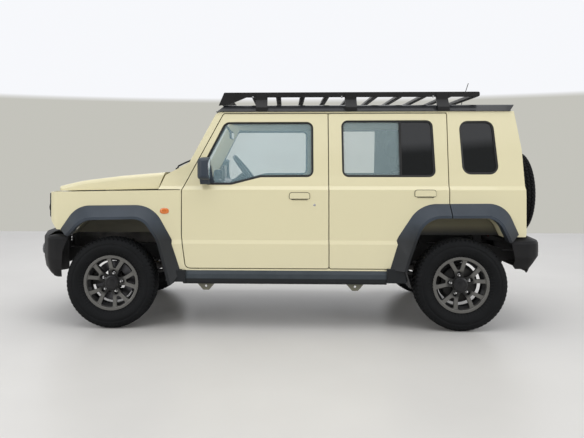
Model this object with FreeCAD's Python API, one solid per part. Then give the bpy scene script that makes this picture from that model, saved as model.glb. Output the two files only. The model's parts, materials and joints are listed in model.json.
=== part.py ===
import FreeCAD, Part
import math
import os

os.makedirs("parts", exist_ok=True)
V = FreeCAD.Vector

# A lifted five-door off-road 4x4 on a ladder frame with rigid axles.
# Millimetres. X runs rearwards from the front axle while building, Y to the car's right, Z up from
# the ground. Each piece is moved at the end so that the origin lies under the middle of the length.

# Running gear
WHEELBASE = 2590.0
TRACK = 1400.0
TYRE_RADIUS = 340.0
TYRE_WIDTH = 195.0
TREAD_FLATS = 48
BEAD_RADIUS = 190.5
RIM_FLANGE_RADIUS = 207.0
RIM_WIDTH = 146.0
RIM_LIP_T = 7.0
FIT = 0.3

# Overall reach ahead of the front axle and behind the rear one
FRONT_OVERHANG = 675.0
REAR_OVERHANG = 720.0
MIDDLE_X = (WHEELBASE + REAR_OVERHANG - FRONT_OVERHANG) / 2

# Body side, as half widths at heights
SIDE_Y = 737.0
STEP_Y = 749.0
SILL_BOTTOM_Z = 352.0
STEP_Z = 632.0
STEP_RISE = 28.0
BELT_Z = 1036.0
BELT_RISE = 26.0
BELT_Y = 716.0
WAIST_Z = 1140.0
WAIST_Y = 704.0
WINDOW_TOP_Y = 652.0
WINDOW_TOP_Z = 1540.0
RAIL_Y = 640.0
RAIL_Z = 1625.0
DOOR_TOP_Z = 1612.0
DOOR_BOTTOM_Z = 450.0

# Door leaves, their shut lines and hinges
GAP = 7.0
SKIN = 4.0
DOOR_T = 50.0
EDGE_T = 24.0
LIP = 12.0
POCKET_DEPTH = 92.0
WALL_T = 110.0
APERTURE_INSET = 60.0
SEAL_W = 9.0
FRONT_HINGE_SETBACK = 62.0
REAR_HINGE_SETBACK = 40.0
HINGE_DEPTH = 15.0
HINGE_PIN_R = 5.0
HINGE_BARREL_R = 9.0
HINGE_HALF = 25.0
HINGE_ZS = (720.0, 960.0)
GLASS_DEPTH = 12.0
GLASS_T = 5.0
GLASS_EDGE = 8.0
WINDOW_R = 40.0

# Stations of the side openings
DOOR_FRONT_X = 524.0
B_LINE_X = 1626.0
C_LINE_X = WHEELBASE - 75.0
COWL_X = 349.0
REAR_X = WHEELBASE + 483.0

# Front axle steering
KINGPIN_Y = TRACK / 2 - 73.0
STEER_CLEAR_R = 400.0
STEER_CONE_Z = 480.0
STEER_TOP_R = 300.0
STEER_TOP_Z = 720.0
SPINDLE_R = 18.0
SPINDLE_OUT = 40.0

# Wheel and tyre detail
SPOKE_COUNT = 5
FORK_TURN = {"front": 79.0, "rear": 97.0}
CAP_R = 53.0

# Axles, links, dampers and springs
AXLE_R = 38.0
DIFF_R = 112.0
LINK_R = 14.0
DAMPER_R = 20.0
COIL_R = 44.0
COIL_WIRE_R = 7.0
COIL_WIRE_FLATS = 8
COIL_TURNS = 4.0
PERCH_RISE = 6.0
DAMPER_SET = 78.0

# Hood, front panel and bumpers
HOOD_T = 20.0
HOOD_Y = 700.0
HOOD_FRONT_X = -419.0
HOOD_REAR_TOP_X = 392.0
HOOD_HINGE = (395.0, 1150.0)
HOOD_HINGE_Y = 470.0
NOSE_X = -483.0
FENDER_T = 20.0
NOSE_R = 60.0
BUMPER_Y = 778.0
BUMPER_WALL = 14.0
BUMPER_BACK_X = -296.0
TAIL_X = WHEELBASE + 598.0
AIR_SLOT_Y = 300.0
AIR_SLOT_ZS = (528.0, 600.0)
AIR_BAR_ZS = (552.0, 577.0)
FOG_Y = 470.0
FOG_Z = 560.0
FOG_R = 44.0
FOG_FACE_X = -618.0
SPARE_NOTCH_Y = 230.0
TAIL_LAMP_YS = (455.0, 655.0)
TAIL_LAMP_ZS = (566.0, 628.0)
JACK_XS = (702.0, B_LINE_X + 200.0)
JACK_BOTTOM_Z = 274.0

# Bumper sections as (height, how far the outline is drawn in)
BUMPER_FRONT_LEVELS = [
    (372.0, 64.0),
    (386.0, 46.0),
    (439.0, 13.0),
    (513.0, 0.0),
    (669.0, 0.0),
    (685.0, 10.0),
    (704.0, 78.0),
]
BUMPER_REAR_LEVELS = [
    (424.0, 72.0),
    (450.0, 62.0),
    (487.0, 36.0),
    (546.0, 0.0),
    (642.0, 0.0),
    (662.0, 10.0),
    (688.0, 70.0),
]

# Doors' trim
WINDOW_RUBBER = 10.0
MIRROR_XS = (662.0, 748.0)
HANDLE_FRONT = (1334.0, 1482.0, 958.0, 1014.0)
HANDLE_REAR = (C_LINE_X - 254.0, C_LINE_X - 101.0, 976.0, 1034.0)

# Ladder frame
RAIL_IN_Y = 320.0
RAIL_W = 60.0
RAIL_H = 110.0
CROSS_MEMBERS = (
    (NOSE_X + 50, 480),
    (430, 402),
    (1160, 408),
    (B_LINE_X - 176, 408),
    (B_LINE_X + 364, 408),
    (WHEELBASE + 330, 500),
    (REAR_X - 110, 480),
)
BODY_MOUNT_XS = (700, 1250, 1800)
TANK_XS = (B_LINE_X - 146.0, B_LINE_X + 334.0)

# Roof and rack
ROOF_TOP_Z = 1712.0
ROOF_T = 26.0
RACK_TOP_Z = 1778.0
RACK_Y = 560.0
RACK_RAIL_H = 36.0
RACK_RAIL_W = 34.0
RACK_FOOT_XS = (1078.0, 1757.0, WHEELBASE - 141.0)
RACK_FOOT_W = 88.0
RACK_FRONT_X = 848.0
RACK_REAR_X = WHEELBASE + 187.0
RACK_SLATS = 9
RACK_SLAT_X = 1040.0
RACK_SLAT_W = 40.0
RACK_SLAT_PITCH = (RACK_REAR_X - RACK_SLAT_W - RACK_SLAT_X) / RACK_SLATS


def unit(a, b):
    """The direction from a to b and the distance between them."""
    dx, dy = b[0] - a[0], b[1] - a[1]
    size = math.hypot(dx, dy)
    return (dx / size, dy / size), size


def rounded_wire(corners, place):
    """A closed wire through corners (u, v, radius), each rounded to its radius where its sides allow."""
    count = len(corners)
    turns = []
    for i in range(count):
        before, here, after = corners[i - 1], corners[i], corners[(i + 1) % count]
        (ax, ay), back = unit(here, before)
        (bx, by), ahead = unit(here, after)
        half = math.acos(max(-1.0, min(1.0, ax * bx + ay * by))) / 2
        reach = min(here[2] / math.tan(half), 0.48 * back, 0.48 * ahead) if here[2] else 0.0
        if reach < 0.01:
            turns.append((here[:2], None, here[:2]))
            continue
        radius = reach * math.tan(half)
        mx, my = ax + bx, ay + by
        size = math.hypot(mx, my)
        out = radius / math.sin(half) - radius
        start = (here[0] + ax * reach, here[1] + ay * reach)
        end = (here[0] + bx * reach, here[1] + by * reach)
        middle = (here[0] + mx / size * out, here[1] + my / size * out)
        turns.append((start, middle, end))
    edges = []
    for i in range(count):
        start, middle, end = turns[i]
        last = turns[i - 1][2]
        if math.hypot(last[0] - start[0], last[1] - start[1]) > 0.001:
            edges.append(Part.makeLine(place(*last), place(*start)))
        if middle:
            edges.append(Part.Arc(place(*start), place(*middle), place(*end)).toShape())
    return Part.Wire(edges)


def grown(corners, distance):
    """The same outline moved outwards by distance, or inwards if it is negative."""
    count = len(corners)
    area = sum(
        corners[i][0] * corners[(i + 1) % count][1] - corners[(i + 1) % count][0] * corners[i][1]
        for i in range(count)
    )
    side = distance if area > 0 else -distance
    made = []
    for i in range(count):
        before, here, after = corners[i - 1], corners[i], corners[(i + 1) % count]
        (ax, ay), _ = unit(before, here)
        (bx, by), _ = unit(here, after)
        nx, ny = ay + by, -(ax + bx)
        size = math.hypot(nx, ny)
        nx, ny = nx / size, ny / size
        scale = side / max(0.2, nx * ay - ny * ax)
        radius = max(0.0, here[2] + distance) if here[2] else 0.0
        made.append((here[0] + nx * scale, here[1] + ny * scale, radius))
    return made


def side_prism(corners, y0, y1):
    """An outline of (x, z, radius) swept across the car from y0 to y1."""
    wire = rounded_wire(corners, lambda x, z: V(x, y0, z))
    return Part.Face(wire).extrude(V(0, y1 - y0, 0))


def plan_prism(corners, z0, z1):
    """An outline of (x, y, radius) raised from z0 to z1."""
    wire = rounded_wire(corners, lambda x, y: V(x, y, z0))
    return Part.Face(wire).extrude(V(0, 0, z1 - z0))


def front_prism(corners, x0, x1):
    """An outline of (y, z, radius) swept along the car from x0 to x1."""
    wire = rounded_wire(corners, lambda y, z: V(x0, y, z))
    return Part.Face(wire).extrude(V(x1 - x0, 0, 0))


def box(x0, x1, y0, y1, z0, z1):
    return Part.makeBox(x1 - x0, y1 - y0, z1 - z0, V(x0, y0, z0))


def tube(start, end, radius):
    """A round bar from one point to another."""
    a, b = V(*start), V(*end)
    return Part.makeCylinder(radius, (b - a).Length, a, b - a)


def mirrored(shape):
    return shape.mirror(V(0, 0, 0), V(0, 1, 0))


def both(shape):
    """The shape of the right side together with the left side's."""
    return [shape, mirrored(shape)]


def fused(shapes):
    first = shapes[0]
    return first.fuse(list(shapes[1:])).removeSplitter() if len(shapes) > 1 else first


def cut(shape, tools):
    return shape.cut(list(tools)).removeSplitter()


def rect(u0, u1, v0, v1, radius=0.0):
    return [(u0, v0, radius), (u1, v0, radius), (u1, v1, radius), (u0, v1, radius)]


SIDE_SECTION = [
    (STEP_Y, SILL_BOTTOM_Z, 0),
    (STEP_Y, STEP_Z, 8),
    (SIDE_Y, STEP_Z + STEP_RISE, 10),
    (SIDE_Y, BELT_Z, 10),
    (BELT_Y, BELT_Z + BELT_RISE, 14),
    (WAIST_Y, WAIST_Z, 250),
    (WINDOW_TOP_Y, WINDOW_TOP_Z, 250),
    (RAIL_Y, RAIL_Z, 0),
]


def side_slab(outer, inner, x0=-600.0, x1=WHEELBASE + 600.0):
    """The right body side's wall between two depths under its outer surface."""
    skin = [(y - outer, z, r) for y, z, r in SIDE_SECTION]
    back = [(y - inner, z, r) for y, z, r in reversed(SIDE_SECTION)]
    return front_prism(skin + back, x0, x1)


REAR_SECTION = [
    (REAR_X - 43.0, 640.0, 0),
    (REAR_X, 700.0, 30),
    (REAR_X, 985.0, 250),
    (REAR_X - 13.0, 1330.0, 300),
    (REAR_X - 58.0, RAIL_Z, 0),
]


def rear_slab(outer, inner, y0, y1):
    """The rear face's wall between two depths under its outer surface."""
    skin = [(x - outer, z, r) for x, z, r in REAR_SECTION]
    back = [(x - inner, z, r) for x, z, r in reversed(REAR_SECTION)]
    return side_prism(skin + back, y0, y1)


# Outlines on the body side, as (x, z, corner radius)
DOOR_FRONT = [
    (DOOR_FRONT_X + 32, DOOR_BOTTOM_Z, 42),
    (B_LINE_X, DOOR_BOTTOM_Z, 18),
    (B_LINE_X, DOOR_TOP_Z, 12),
    (DOOR_FRONT_X + 308, DOOR_TOP_Z, 25),
    (DOOR_FRONT_X, BELT_Z - 4, 60),
    (DOOR_FRONT_X, 690, 250),
]
DOOR_REAR = [
    (B_LINE_X, DOOR_BOTTOM_Z, 18),
    (C_LINE_X, DOOR_BOTTOM_Z, 0),
    (C_LINE_X, DOOR_TOP_Z, 12),
    (B_LINE_X, DOOR_TOP_Z, 12),
]
GLASS_FRONT = [
    (703, 1082, 20),
    (895, 1082, 90),
    (1115, 1138, 90),
    (1504, 1140, WINDOW_R),
    (1504, WINDOW_TOP_Z - 3, WINDOW_R),
    (850, WINDOW_TOP_Z - 3, 50),
    (703, 1248, 40),
]
GLASS_REAR = [
    (B_LINE_X + 112, 1140, WINDOW_R),
    (C_LINE_X - 103, 1140, WINDOW_R),
    (C_LINE_X - 117, WINDOW_TOP_Z + 8, WINDOW_R),
    (B_LINE_X + 108, WINDOW_TOP_Z + 8, WINDOW_R),
]
GLASS_QUARTER = [
    (C_LINE_X + 114, 1160, 55),
    (C_LINE_X + 362, 1160, 55),
    (C_LINE_X + 333, WINDOW_TOP_Z + 2, 55),
    (C_LINE_X + 97, WINDOW_TOP_Z + 2, 55),
]
WINDOW_FRONT = grown(GLASS_FRONT, WINDOW_RUBBER)
WINDOW_REAR = grown(GLASS_REAR, WINDOW_RUBBER)
WINDOW_QUARTER = grown(GLASS_QUARTER, WINDOW_RUBBER)

# Wheel arch lines relative to their axle, from the front leg over the top to the rear leg
FLARE_OUT_FRONT = [(-396, 740, 0), (-272, 920, 195), (309, 925, 220), (462, 650, 200), (536, 440, 0)]
FLARE_LIP_FRONT = [(-330, 700, 0), (-212, 832, 200), (256, 842, 150), (370, 668, 300), (458, 335, 0)]
FLARE_OUT_REAR = [(-538, 440, 0), (-462, 686, 200), (-291, 936, 230), (331, 940, 185), (432, 712, 0)]
FLARE_LIP_REAR = [(-421, 440, 0), (-394, 540, 200), (-282, 851, 190), (264, 854, 150), (354, 660, 0)]
FLARE_OUT_Y = 822.0
LIP_BAND = 20.0
ARCH_FLOOR_Z = 300.0


def arch_line(lip, axle_x):
    """The opening in the panels: the flare's lip moved in by its band, open to below."""
    first, last = lip[0], lip[-1]
    closed = [(first[0], ARCH_FLOOR_Z, 0)] + list(lip) + [(last[0], ARCH_FLOOR_Z, 0)]
    return [(x + axle_x, z, r) for x, z, r in grown(closed, -LIP_BAND)[1:-1]]


def arch_prism(lip, axle_x, y0, y1, extra=0.0):
    """The space of a wheel arch, down past the sills."""
    line = arch_line(lip, axle_x)
    closed = [(line[0][0], ARCH_FLOOR_Z, 0)] + line + [(line[-1][0], ARCH_FLOOR_Z, 0)]
    return side_prism(grown(closed, extra), y0, y1)


def flare_band(out, lip, axle_x):
    """One wheel arch flare: its top slopes from the body out to the lip, which turns under."""
    inner = arch_line(lip, axle_x)
    root = [(x + axle_x, z, r) for x, z, r in out] + inner[::-1]
    edge = [(x + axle_x, z, r) for x, z, r in lip] + inner[::-1]
    wires = [
        rounded_wire(root, lambda x, z: V(x, SIDE_Y - 4, z)),
        rounded_wire(edge, lambda x, z: V(x, FLARE_OUT_Y, z)),
    ]
    band = Part.makeLoft(wires, True, True)
    return band.cut(side_slab(-FIT, 200))


def flares_fixed():
    front = flare_band(FLARE_OUT_FRONT, FLARE_LIP_FRONT, 0)
    rear = flare_band(FLARE_OUT_REAR, FLARE_LIP_REAR, WHEELBASE)
    rear = rear.common(box(C_LINE_X + GAP / 2, WHEELBASE + 600, 600, 900, 0, 1200))
    return both(front) + both(rear)


def flare_door():
    rear = flare_band(FLARE_OUT_REAR, FLARE_LIP_REAR, WHEELBASE)
    return rear.common(box(B_LINE_X, C_LINE_X - GAP / 2, 600, 900, DOOR_BOTTOM_Z - GAP, 1200))


HINGE_Y = SIDE_Y - HINGE_DEPTH
SWING_CLEAR = 5.0
FRONT_HINGE_X = DOOR_FRONT_X + GAP / 2 + FRONT_HINGE_SETBACK
REAR_HINGE_X = B_LINE_X + GAP / 2 + REAR_HINGE_SETBACK
APERTURE_X = FRONT_HINGE_X + 30.0


def swing_room():
    """The round space that the front door's leading edge sweeps as it swings."""
    reach = math.hypot(FRONT_HINGE_SETBACK, STEP_Y - HINGE_Y) + SWING_CLEAR
    axis = V(FRONT_HINGE_X, HINGE_Y, DOOR_BOTTOM_Z - GAP)
    return Part.makeCylinder(reach, BELT_Z - DOOR_BOTTOM_Z, axis)


def door_knuckle(x, z):
    """The hinge half on a door leaf: a bored barrel with an arm into the leaf."""
    top, bottom = z - 1, z - HINGE_HALF
    barrel = tube((x, HINGE_Y, bottom), (x, HINGE_Y, top), HINGE_BARREL_R)
    arm = box(x, x + 24, HINGE_Y - 6, HINGE_Y + 6, bottom, top)
    bore = tube((x, HINGE_Y, bottom - 1), (x, HINGE_Y, top + 1), HINGE_PIN_R + FIT)
    return barrel.fuse(arm).cut(bore)


def pillar_knuckle(x, z):
    """The hinge half on a pillar: a barrel with the pin, on an arm from the pillar's face."""
    bottom, top = z + 1, z + HINGE_HALF
    barrel = tube((x, HINGE_Y, bottom), (x, HINGE_Y, top), HINGE_BARREL_R)
    pin = tube((x, HINGE_Y, z - HINGE_HALF), (x, HINGE_Y, top), HINGE_PIN_R)
    arm = box(x - 6, x + 6, SIDE_Y - POCKET_DEPTH - 4, HINGE_Y, bottom, top)
    return barrel.fuse([pin, arm])


def door_leaf(outline, window, front_edge, x, rear_edge):
    """A right-hand door: thin at its leading edge, lipped at its trailing one, with its window cut."""
    leaf = side_slab(0, DOOR_T).common(side_prism(grown(outline, -GAP / 2), 500, 900))
    front = front_edge + GAP / 2
    rear = rear_edge - GAP / 2
    tools = [
        side_slab(EDGE_T, DOOR_T + 5, front - 5, x + 6),
        side_slab(SKIN, DOOR_T + 5, rear - LIP, rear + 5),
        side_prism(window, 500, 900),
        side_slab(GLASS_DEPTH, GLASS_DEPTH + GLASS_T).common(side_prism(grown(window, GLASS_EDGE), 500, 900)),
    ]
    for z in HINGE_ZS:
        pocket = side_slab(SKIN, DOOR_T + 5, front - 5, x + 16)
        tools.append(pocket.common(box(0, 5000, 0, 900, z - 36, z + 36)))
    leaf = cut(leaf, tools)
    return fused([leaf] + [door_knuckle(x, z) for z in HINGE_ZS])


def pane(window):
    """Side glass, seated in the groove round its window."""
    slab = side_slab(GLASS_DEPTH + FIT, GLASS_DEPTH + GLASS_T - FIT)
    return slab.common(side_prism(grown(window, GLASS_EDGE - FIT), 500, 900))


def door_front():
    return door_leaf(DOOR_FRONT, WINDOW_FRONT, DOOR_FRONT_X, FRONT_HINGE_X, B_LINE_X)


def door_rear():
    leaf = door_leaf(DOOR_REAR, WINDOW_REAR, B_LINE_X, REAR_HINGE_X, C_LINE_X)
    return leaf.cut(arch_prism(FLARE_LIP_REAR, WHEELBASE, 500, 900))


A_POST = [
    (COWL_X, BELT_Z + 3, 0),
    (COWL_X + 51, 1146, 0),
    (577, 1240, 30),
    (771, 1606, 30),
    (800, RAIL_Z, 0),
]


def jacking_bracket(x):
    """A rounded plate under the sill where a jack bears."""
    plate = [
        (x - 64, SILL_BOTTOM_Z + 4, 0),
        (x - 64, 322, 10),
        (x - 22, JACK_BOTTOM_Z, 14),
        (x + 22, JACK_BOTTOM_Z, 14),
        (x + 64, 322, 10),
        (x + 64, SILL_BOTTOM_Z + 4, 0),
    ]
    hole = tube((x, 600, 305), (x, 720, 305), 9)
    return side_prism(plate, 664, 672).cut(hole)


def body_side():
    """The right side of the cab: posts, roof rail, sill and rear quarter round the door openings."""
    outline = A_POST + [
        (REAR_X, RAIL_Z, 0),
        (REAR_X, 690, 30),
        (WHEELBASE + 200, 690, 0),
        (WHEELBASE + 200, SILL_BOTTOM_Z, 0),
        (DOOR_FRONT_X + 10, SILL_BOTTOM_Z, 0),
        (DOOR_FRONT_X - 9, BELT_Z + 3, 0),
    ]
    wall = side_slab(0, WALL_T).common(side_prism(outline, 400, 900))
    rear_trim = side_prism(
        REAR_SECTION + [(REAR_X + 200, RAIL_Z, 0), (REAR_X + 200, 640, 0)], 400, 900
    )
    fender_room = box(400, 652, 600, 900, DOOR_BOTTOM_Z - GAP - FIT, BELT_Z - 2 + FIT)
    tools = [rear_trim, swing_room(), fender_room.common(side_slab(-5, FENDER_T + FIT))]
    for door, front in ((DOOR_FRONT, DOOR_FRONT_X), (DOOR_REAR, B_LINE_X)):
        room = side_slab(-5, POCKET_DEPTH).common(side_prism(grown(door, GAP / 2), 400, 900))
        tools.append(room)
    opening_front = side_prism(grown(DOOR_FRONT, -APERTURE_INSET), 400, 900)
    opening_front = opening_front.common(box(APERTURE_X, 2000, 400, 900, 0, 2000))
    opening_rear = side_prism(grown(DOOR_REAR, -APERTURE_INSET), 400, 900)
    opening_rear = opening_rear.cut(arch_prism(FLARE_LIP_REAR, WHEELBASE, 300, 950, 60))
    tools += [
        opening_front,
        opening_rear,
        arch_prism(FLARE_LIP_REAR, WHEELBASE, 400, 900),
        side_prism(WINDOW_QUARTER, 400, 900),
        side_slab(GLASS_DEPTH, GLASS_DEPTH + GLASS_T).common(
            side_prism(grown(WINDOW_QUARTER, GLASS_EDGE), 400, 900)
        ),
    ]
    wall = cut(wall, tools)
    hinges = [pillar_knuckle(x, z) for x in (FRONT_HINGE_X, REAR_HINGE_X) for z in HINGE_ZS]
    return fused([wall] + hinges + [jacking_bracket(x) for x in JACK_XS])


def door_seals():
    """Rubber rings on the pillars that the closed doors bear on."""
    made = []
    reach = side_slab(DOOR_T + FIT, POCKET_DEPTH)
    for door, arch in ((DOOR_FRONT, None), (DOOR_REAR, FLARE_LIP_REAR)):
        outer = side_prism(grown(door, SEAL_W - APERTURE_INSET), 400, 900)
        inner = side_prism(grown(door, -APERTURE_INSET), 390, 910)
        if not arch:
            outer = outer.common(box(APERTURE_X - SEAL_W, 2000, 400, 900, 0, 2000))
            inner = inner.common(box(APERTURE_X, 2000, 380, 920, 0, 2000))
        else:
            outer = outer.cut(arch_prism(arch, WHEELBASE, 300, 950, 60 - SEAL_W))
            inner = inner.cut(arch_prism(arch, WHEELBASE, 300, 950, 60))
        made.append(outer.cut(inner).common(reach))
    return both(made[0]) + both(made[1])


def fender():
    """A right front wing with its rounded nose corner and the shelf under the hood's edge."""
    rear = DOOR_FRONT_X - GAP / 2
    outline = [
        (NOSE_X, 1018, 0),
        (NOSE_X, 821, 60),
        (NOSE_X + 62, 732, 20),
        (NOSE_X + 110, 732, 0),
        (rear, 500, 0),
        (rear + 120, DOOR_BOTTOM_Z - GAP, 0),
        (rear + 120, BELT_Z, 0),
    ]
    plan = [
        (NOSE_X, 560, 0),
        (NOSE_X, SIDE_Y, NOSE_R),
        (rear + 100, SIDE_Y, 0),
        (rear + 100, 560, 0),
    ]
    inside = [
        (NOSE_X + FENDER_T, 500, 0),
        (NOSE_X + FENDER_T, SIDE_Y - FENDER_T, NOSE_R - FENDER_T),
        (rear + 200, SIDE_Y - FENDER_T, 0),
        (rear + 200, 500, 0),
    ]
    top = [
        (NOSE_X - 10, 600, 0),
        (NOSE_X - 10, 1018, 0),
        (rear, BELT_Z - 2, 0),
        (rear + 130, BELT_Z - 2, 0),
        (rear + 130, DOOR_BOTTOM_Z - GAP, 0),
        (NOSE_X - 10, DOOR_BOTTOM_Z - GAP, 0),
    ]
    shell = plan_prism(plan, 400, 1100).cut(plan_prism(inside, 390, 1110))
    corner = outline[:4] + [(NOSE_X + 300, 732, 0), (NOSE_X + 300, 1022, 0)]
    shell = shell.common(side_prism(corner, 500, 900))
    wall = side_slab(0, FENDER_T, NOSE_X + NOSE_R, rear + 130)
    shelf = box(NOSE_X + 80, COWL_X - GAP, 640, SIDE_Y - 2, 900, 1060)
    lid = side_prism(
        [(NOSE_X, 1003, 0), (rear, BELT_Z - 17, 0), (rear, BELT_Z - 2, 0), (NOSE_X, 1018, 0)], 500, 900
    )
    body = fused([shell, wall, shelf.common(lid)])
    body = body.common(side_prism(top, 500, 900))
    door_room = side_prism(grown(DOOR_FRONT, GAP / 2), 400, 900)
    edge = side_slab(SKIN, FENDER_T + 5).common(side_prism(grown(DOOR_FRONT, GAP / 2 + LIP), 400, 900))
    swing = swing_room().common(side_slab(SKIN, 100))
    tools = [arch_prism(FLARE_LIP_FRONT, 0, 400, 900), door_room, edge, swing]
    tools.append(box(-300, rear + 200, 400, 900, 300, DOOR_BOTTOM_Z - GAP))
    tools.append(box(NOSE_X - 10, 0, 400, 900, 300, 735))
    tools.append(front_prism(grown(GRILLE, FIT), NOSE_X - 20, NOSE_X + 6))
    tools.append(lamp_hole(1, LAMP_R + FIT))
    return cut(body, tools)


def front_panel():
    """The painted panel between the wings that carries the grille."""
    plate = box(NOSE_X + 6, NOSE_X + FENDER_T, -558, 558, 740, 1016)
    shelf = box(NOSE_X + 6, HOOD_FRONT_X - GAP, -558, 558, 996, 1016)
    foot = side_prism(
        [(NOSE_X + 6, 740, 0), (NOSE_X + 27, 706, 0), (NOSE_X + 39, 706, 0), (NOSE_X + 20, 745, 0)],
        -558,
        558,
    )
    holes = [lamp_hole(s, LAMP_R + FIT) for s in (-1, 1)]
    holes.append(box(NOSE_X - 50, NOSE_X + 100, -380, 380, 800, 985))
    return cut(fused([plate, shelf, foot]), holes)


LAMP_Y = 520.0
LAMP_Z = 905.0
LAMP_R = 92.0
LAMP_BACK_X = NOSE_X + 38.0
GRILLE = [(-672, 820, 30), (672, 820, 30), (690, 1008, 30), (-690, 1008, 30)]
SLOT_COUNT = 6
SLOT_PITCH = 108.0


def lamp_hole(side, radius):
    """The round opening for one headlamp."""
    y = side * LAMP_Y
    return tube((NOSE_X - 60, y, LAMP_Z), (NOSE_X + 60, y, LAMP_Z), radius)


def grille():
    """The black front with its upright slots and round lamp openings."""
    panel = front_prism(GRILLE, NOSE_X - 14, NOSE_X + 6 - FIT)
    tools = []
    for i in range(SLOT_COUNT):
        y = (i - (SLOT_COUNT - 1) / 2) * SLOT_PITCH
        slot = [(y - 38, 850, 16), (y + 38, 850, 16), (y + 38, 972, 16), (y - 38, 972, 16)]
        tools.append(front_prism(slot, NOSE_X - 40, NOSE_X + 40))
    tools += [lamp_hole(s, LAMP_R + FIT) for s in (-1, 1)]
    plan = [
        (NOSE_X - 14, -700, 55),
        (NOSE_X + 100, -740, 0),
        (NOSE_X + 100, 740, 0),
        (NOSE_X - 14, 700, 55),
    ]
    return cut(panel.common(plan_prism(plan, 700, 1100)), tools)


def headlamps():
    """Round lamps, each a domed lens on a bowl."""
    made = []
    for s in (-1, 1):
        y = s * LAMP_Y
        bowl = tube((NOSE_X - 6, y, LAMP_Z), (LAMP_BACK_X, y, LAMP_Z), LAMP_R)
        dome = Part.makeSphere(240, V(NOSE_X + 216, y, LAMP_Z)).common(
            tube((NOSE_X - 60, y, LAMP_Z), (NOSE_X, y, LAMP_Z), LAMP_R)
        )
        made.append(bowl.fuse(dome).removeSplitter())
    return made


def hood():
    """The hood: a shell with a crowned top and slanted rear edge."""
    outer = [
        (HOOD_FRONT_X, 1026, 0),
        (HOOD_FRONT_X, 1060, 16),
        (-245, 1101, 900),
        (60, 1139, 1500),
        (HOOD_REAR_TOP_X, 1166, 0),
        (COWL_X - GAP, BELT_Z + 5, 0),
    ]
    inner = [
        (HOOD_FRONT_X + HOOD_T, 900, 0),
        (HOOD_FRONT_X + HOOD_T, 1040, 10),
        (-245, 1101 - HOOD_T, 900),
        (60, 1139 - HOOD_T, 1500),
        (HOOD_REAR_TOP_X - 25, 1166 - HOOD_T, 0),
        (COWL_X - GAP - 60, 900, 0),
    ]
    block = side_prism(outer, -HOOD_Y, HOOD_Y)
    long_edges = []
    for e in block.Edges:
        middle = e.valueAt((e.FirstParameter + e.LastParameter) / 2)
        ends = [v.Point for v in e.Vertexes]
        flat = all(abs(abs(p.y) - HOOD_Y) < 0.1 for p in ends) and abs(abs(middle.y) - HOOD_Y) < 0.1
        if flat and middle.z > 1060 and abs(ends[0].x - ends[-1].x) > 30 and middle.x < HOOD_REAR_TOP_X - 30:
            long_edges.append(e)
    block = block.makeFillet(30, long_edges)
    shell = block.cut(side_prism(inner, HOOD_T - HOOD_Y, HOOD_Y - HOOD_T))
    x, z = HOOD_HINGE
    parts = [shell]
    for s in (-1, 1):
        y = s * HOOD_HINGE_Y
        barrel = tube((x, y - 9, z), (x, y + 9, z), 8)
        lug = box(x - 40, x, y - 9, y + 9, z - 7, z + 7)
        parts.append(barrel.fuse(lug))
    body = fused(parts)
    pins = [tube((x, s * HOOD_HINGE_Y - 20, z), (x, s * HOOD_HINGE_Y + 20, z), 4 + FIT) for s in (-1, 1)]
    return body.cut(pins)


def hood_hinges():
    """The fixed halves of the hood's hinges, standing on the cowl."""
    x, z = HOOD_HINGE
    made = []
    for s in (-1, 1):
        y = s * HOOD_HINGE_Y
        pin = tube((x, y - 8, z), (x, y + 22, z), 4)
        arm = box(x - 7, x + 9, y + 10, y + 22, 1117 + FIT, z)
        made.append(pin.fuse([arm, tube((x, y + 10, z), (x, y + 22, z), 8)]))
    return made


ROOF_FRONT_X = 752.0
ROOF_REAR_X = WHEELBASE + 448.0


def roof_section():
    """Half outline of the roof: drip rail, rounded shoulder and crowned middle."""
    return [
        (RAIL_Y + 12, RAIL_Z - 16, 0),
        (RAIL_Y + 12, RAIL_Z + 4, 3),
        (RAIL_Y - 14, RAIL_Z + 8, 6),
        (RAIL_Y - 62, ROOF_TOP_Z - 32, 40),
        (200, ROOF_TOP_Z, 2000),
    ]


def roof():
    """The black roof with drip rails: an arched shell that overhangs the windscreen and the tail."""
    top = roof_section()
    outer = top + [(-y, z, r) for y, z, r in reversed(top)]
    low = [
        (RAIL_Y - 40, RAIL_Z - 30, 0),
        (RAIL_Y - 40, RAIL_Z + 2, 6),
        (RAIL_Y - 90, ROOF_TOP_Z - 32 - ROOF_T, 30),
        (200, ROOF_TOP_Z - ROOF_T, 2000),
    ]
    inner = low + [(-y, z, r) for y, z, r in reversed(low)]
    shell = front_prism(outer, ROOF_FRONT_X, ROOF_REAR_X)
    shell = shell.cut(front_prism(inner, ROOF_FRONT_X + 40, ROOF_REAR_X - 70))
    ends = side_prism(
        [
            (ROOF_FRONT_X - 4, RAIL_Z - 24, 0),
            (ROOF_FRONT_X + 100, ROOF_TOP_Z - 18, 140),
            (ROOF_FRONT_X + 400, ROOF_TOP_Z + 12, 900),
            (ROOF_REAR_X - 6, ROOF_TOP_Z + 4, 0),
            (ROOF_REAR_X, ROOF_TOP_Z - 34, 12),
            (ROOF_REAR_X - 74, RAIL_Z - 24, 0),
        ],
        -700,
        700,
    )
    shell = shell.common(ends)
    rails = [side_slab(-60, WALL_T + 60), mirrored(side_slab(-60, WALL_T + 60))]
    shell = shell.cut(rails)
    antenna = tube((ROOF_REAR_X - 250, 0, ROOF_TOP_Z - 10), (ROOF_REAR_X - 180, 0, ROOF_TOP_Z + 205), 3)
    boot = tube((ROOF_REAR_X - 252, 0, ROOF_TOP_Z - 14), (ROOF_REAR_X - 242, 0, ROOF_TOP_Z + 16), 12)
    return fused([shell, antenna, boot])


SCREEN_BASE = (512.0, 1130.0)
SCREEN_TOP = (765.0, 1596.0)
SCREEN_T = 6.0


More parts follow.
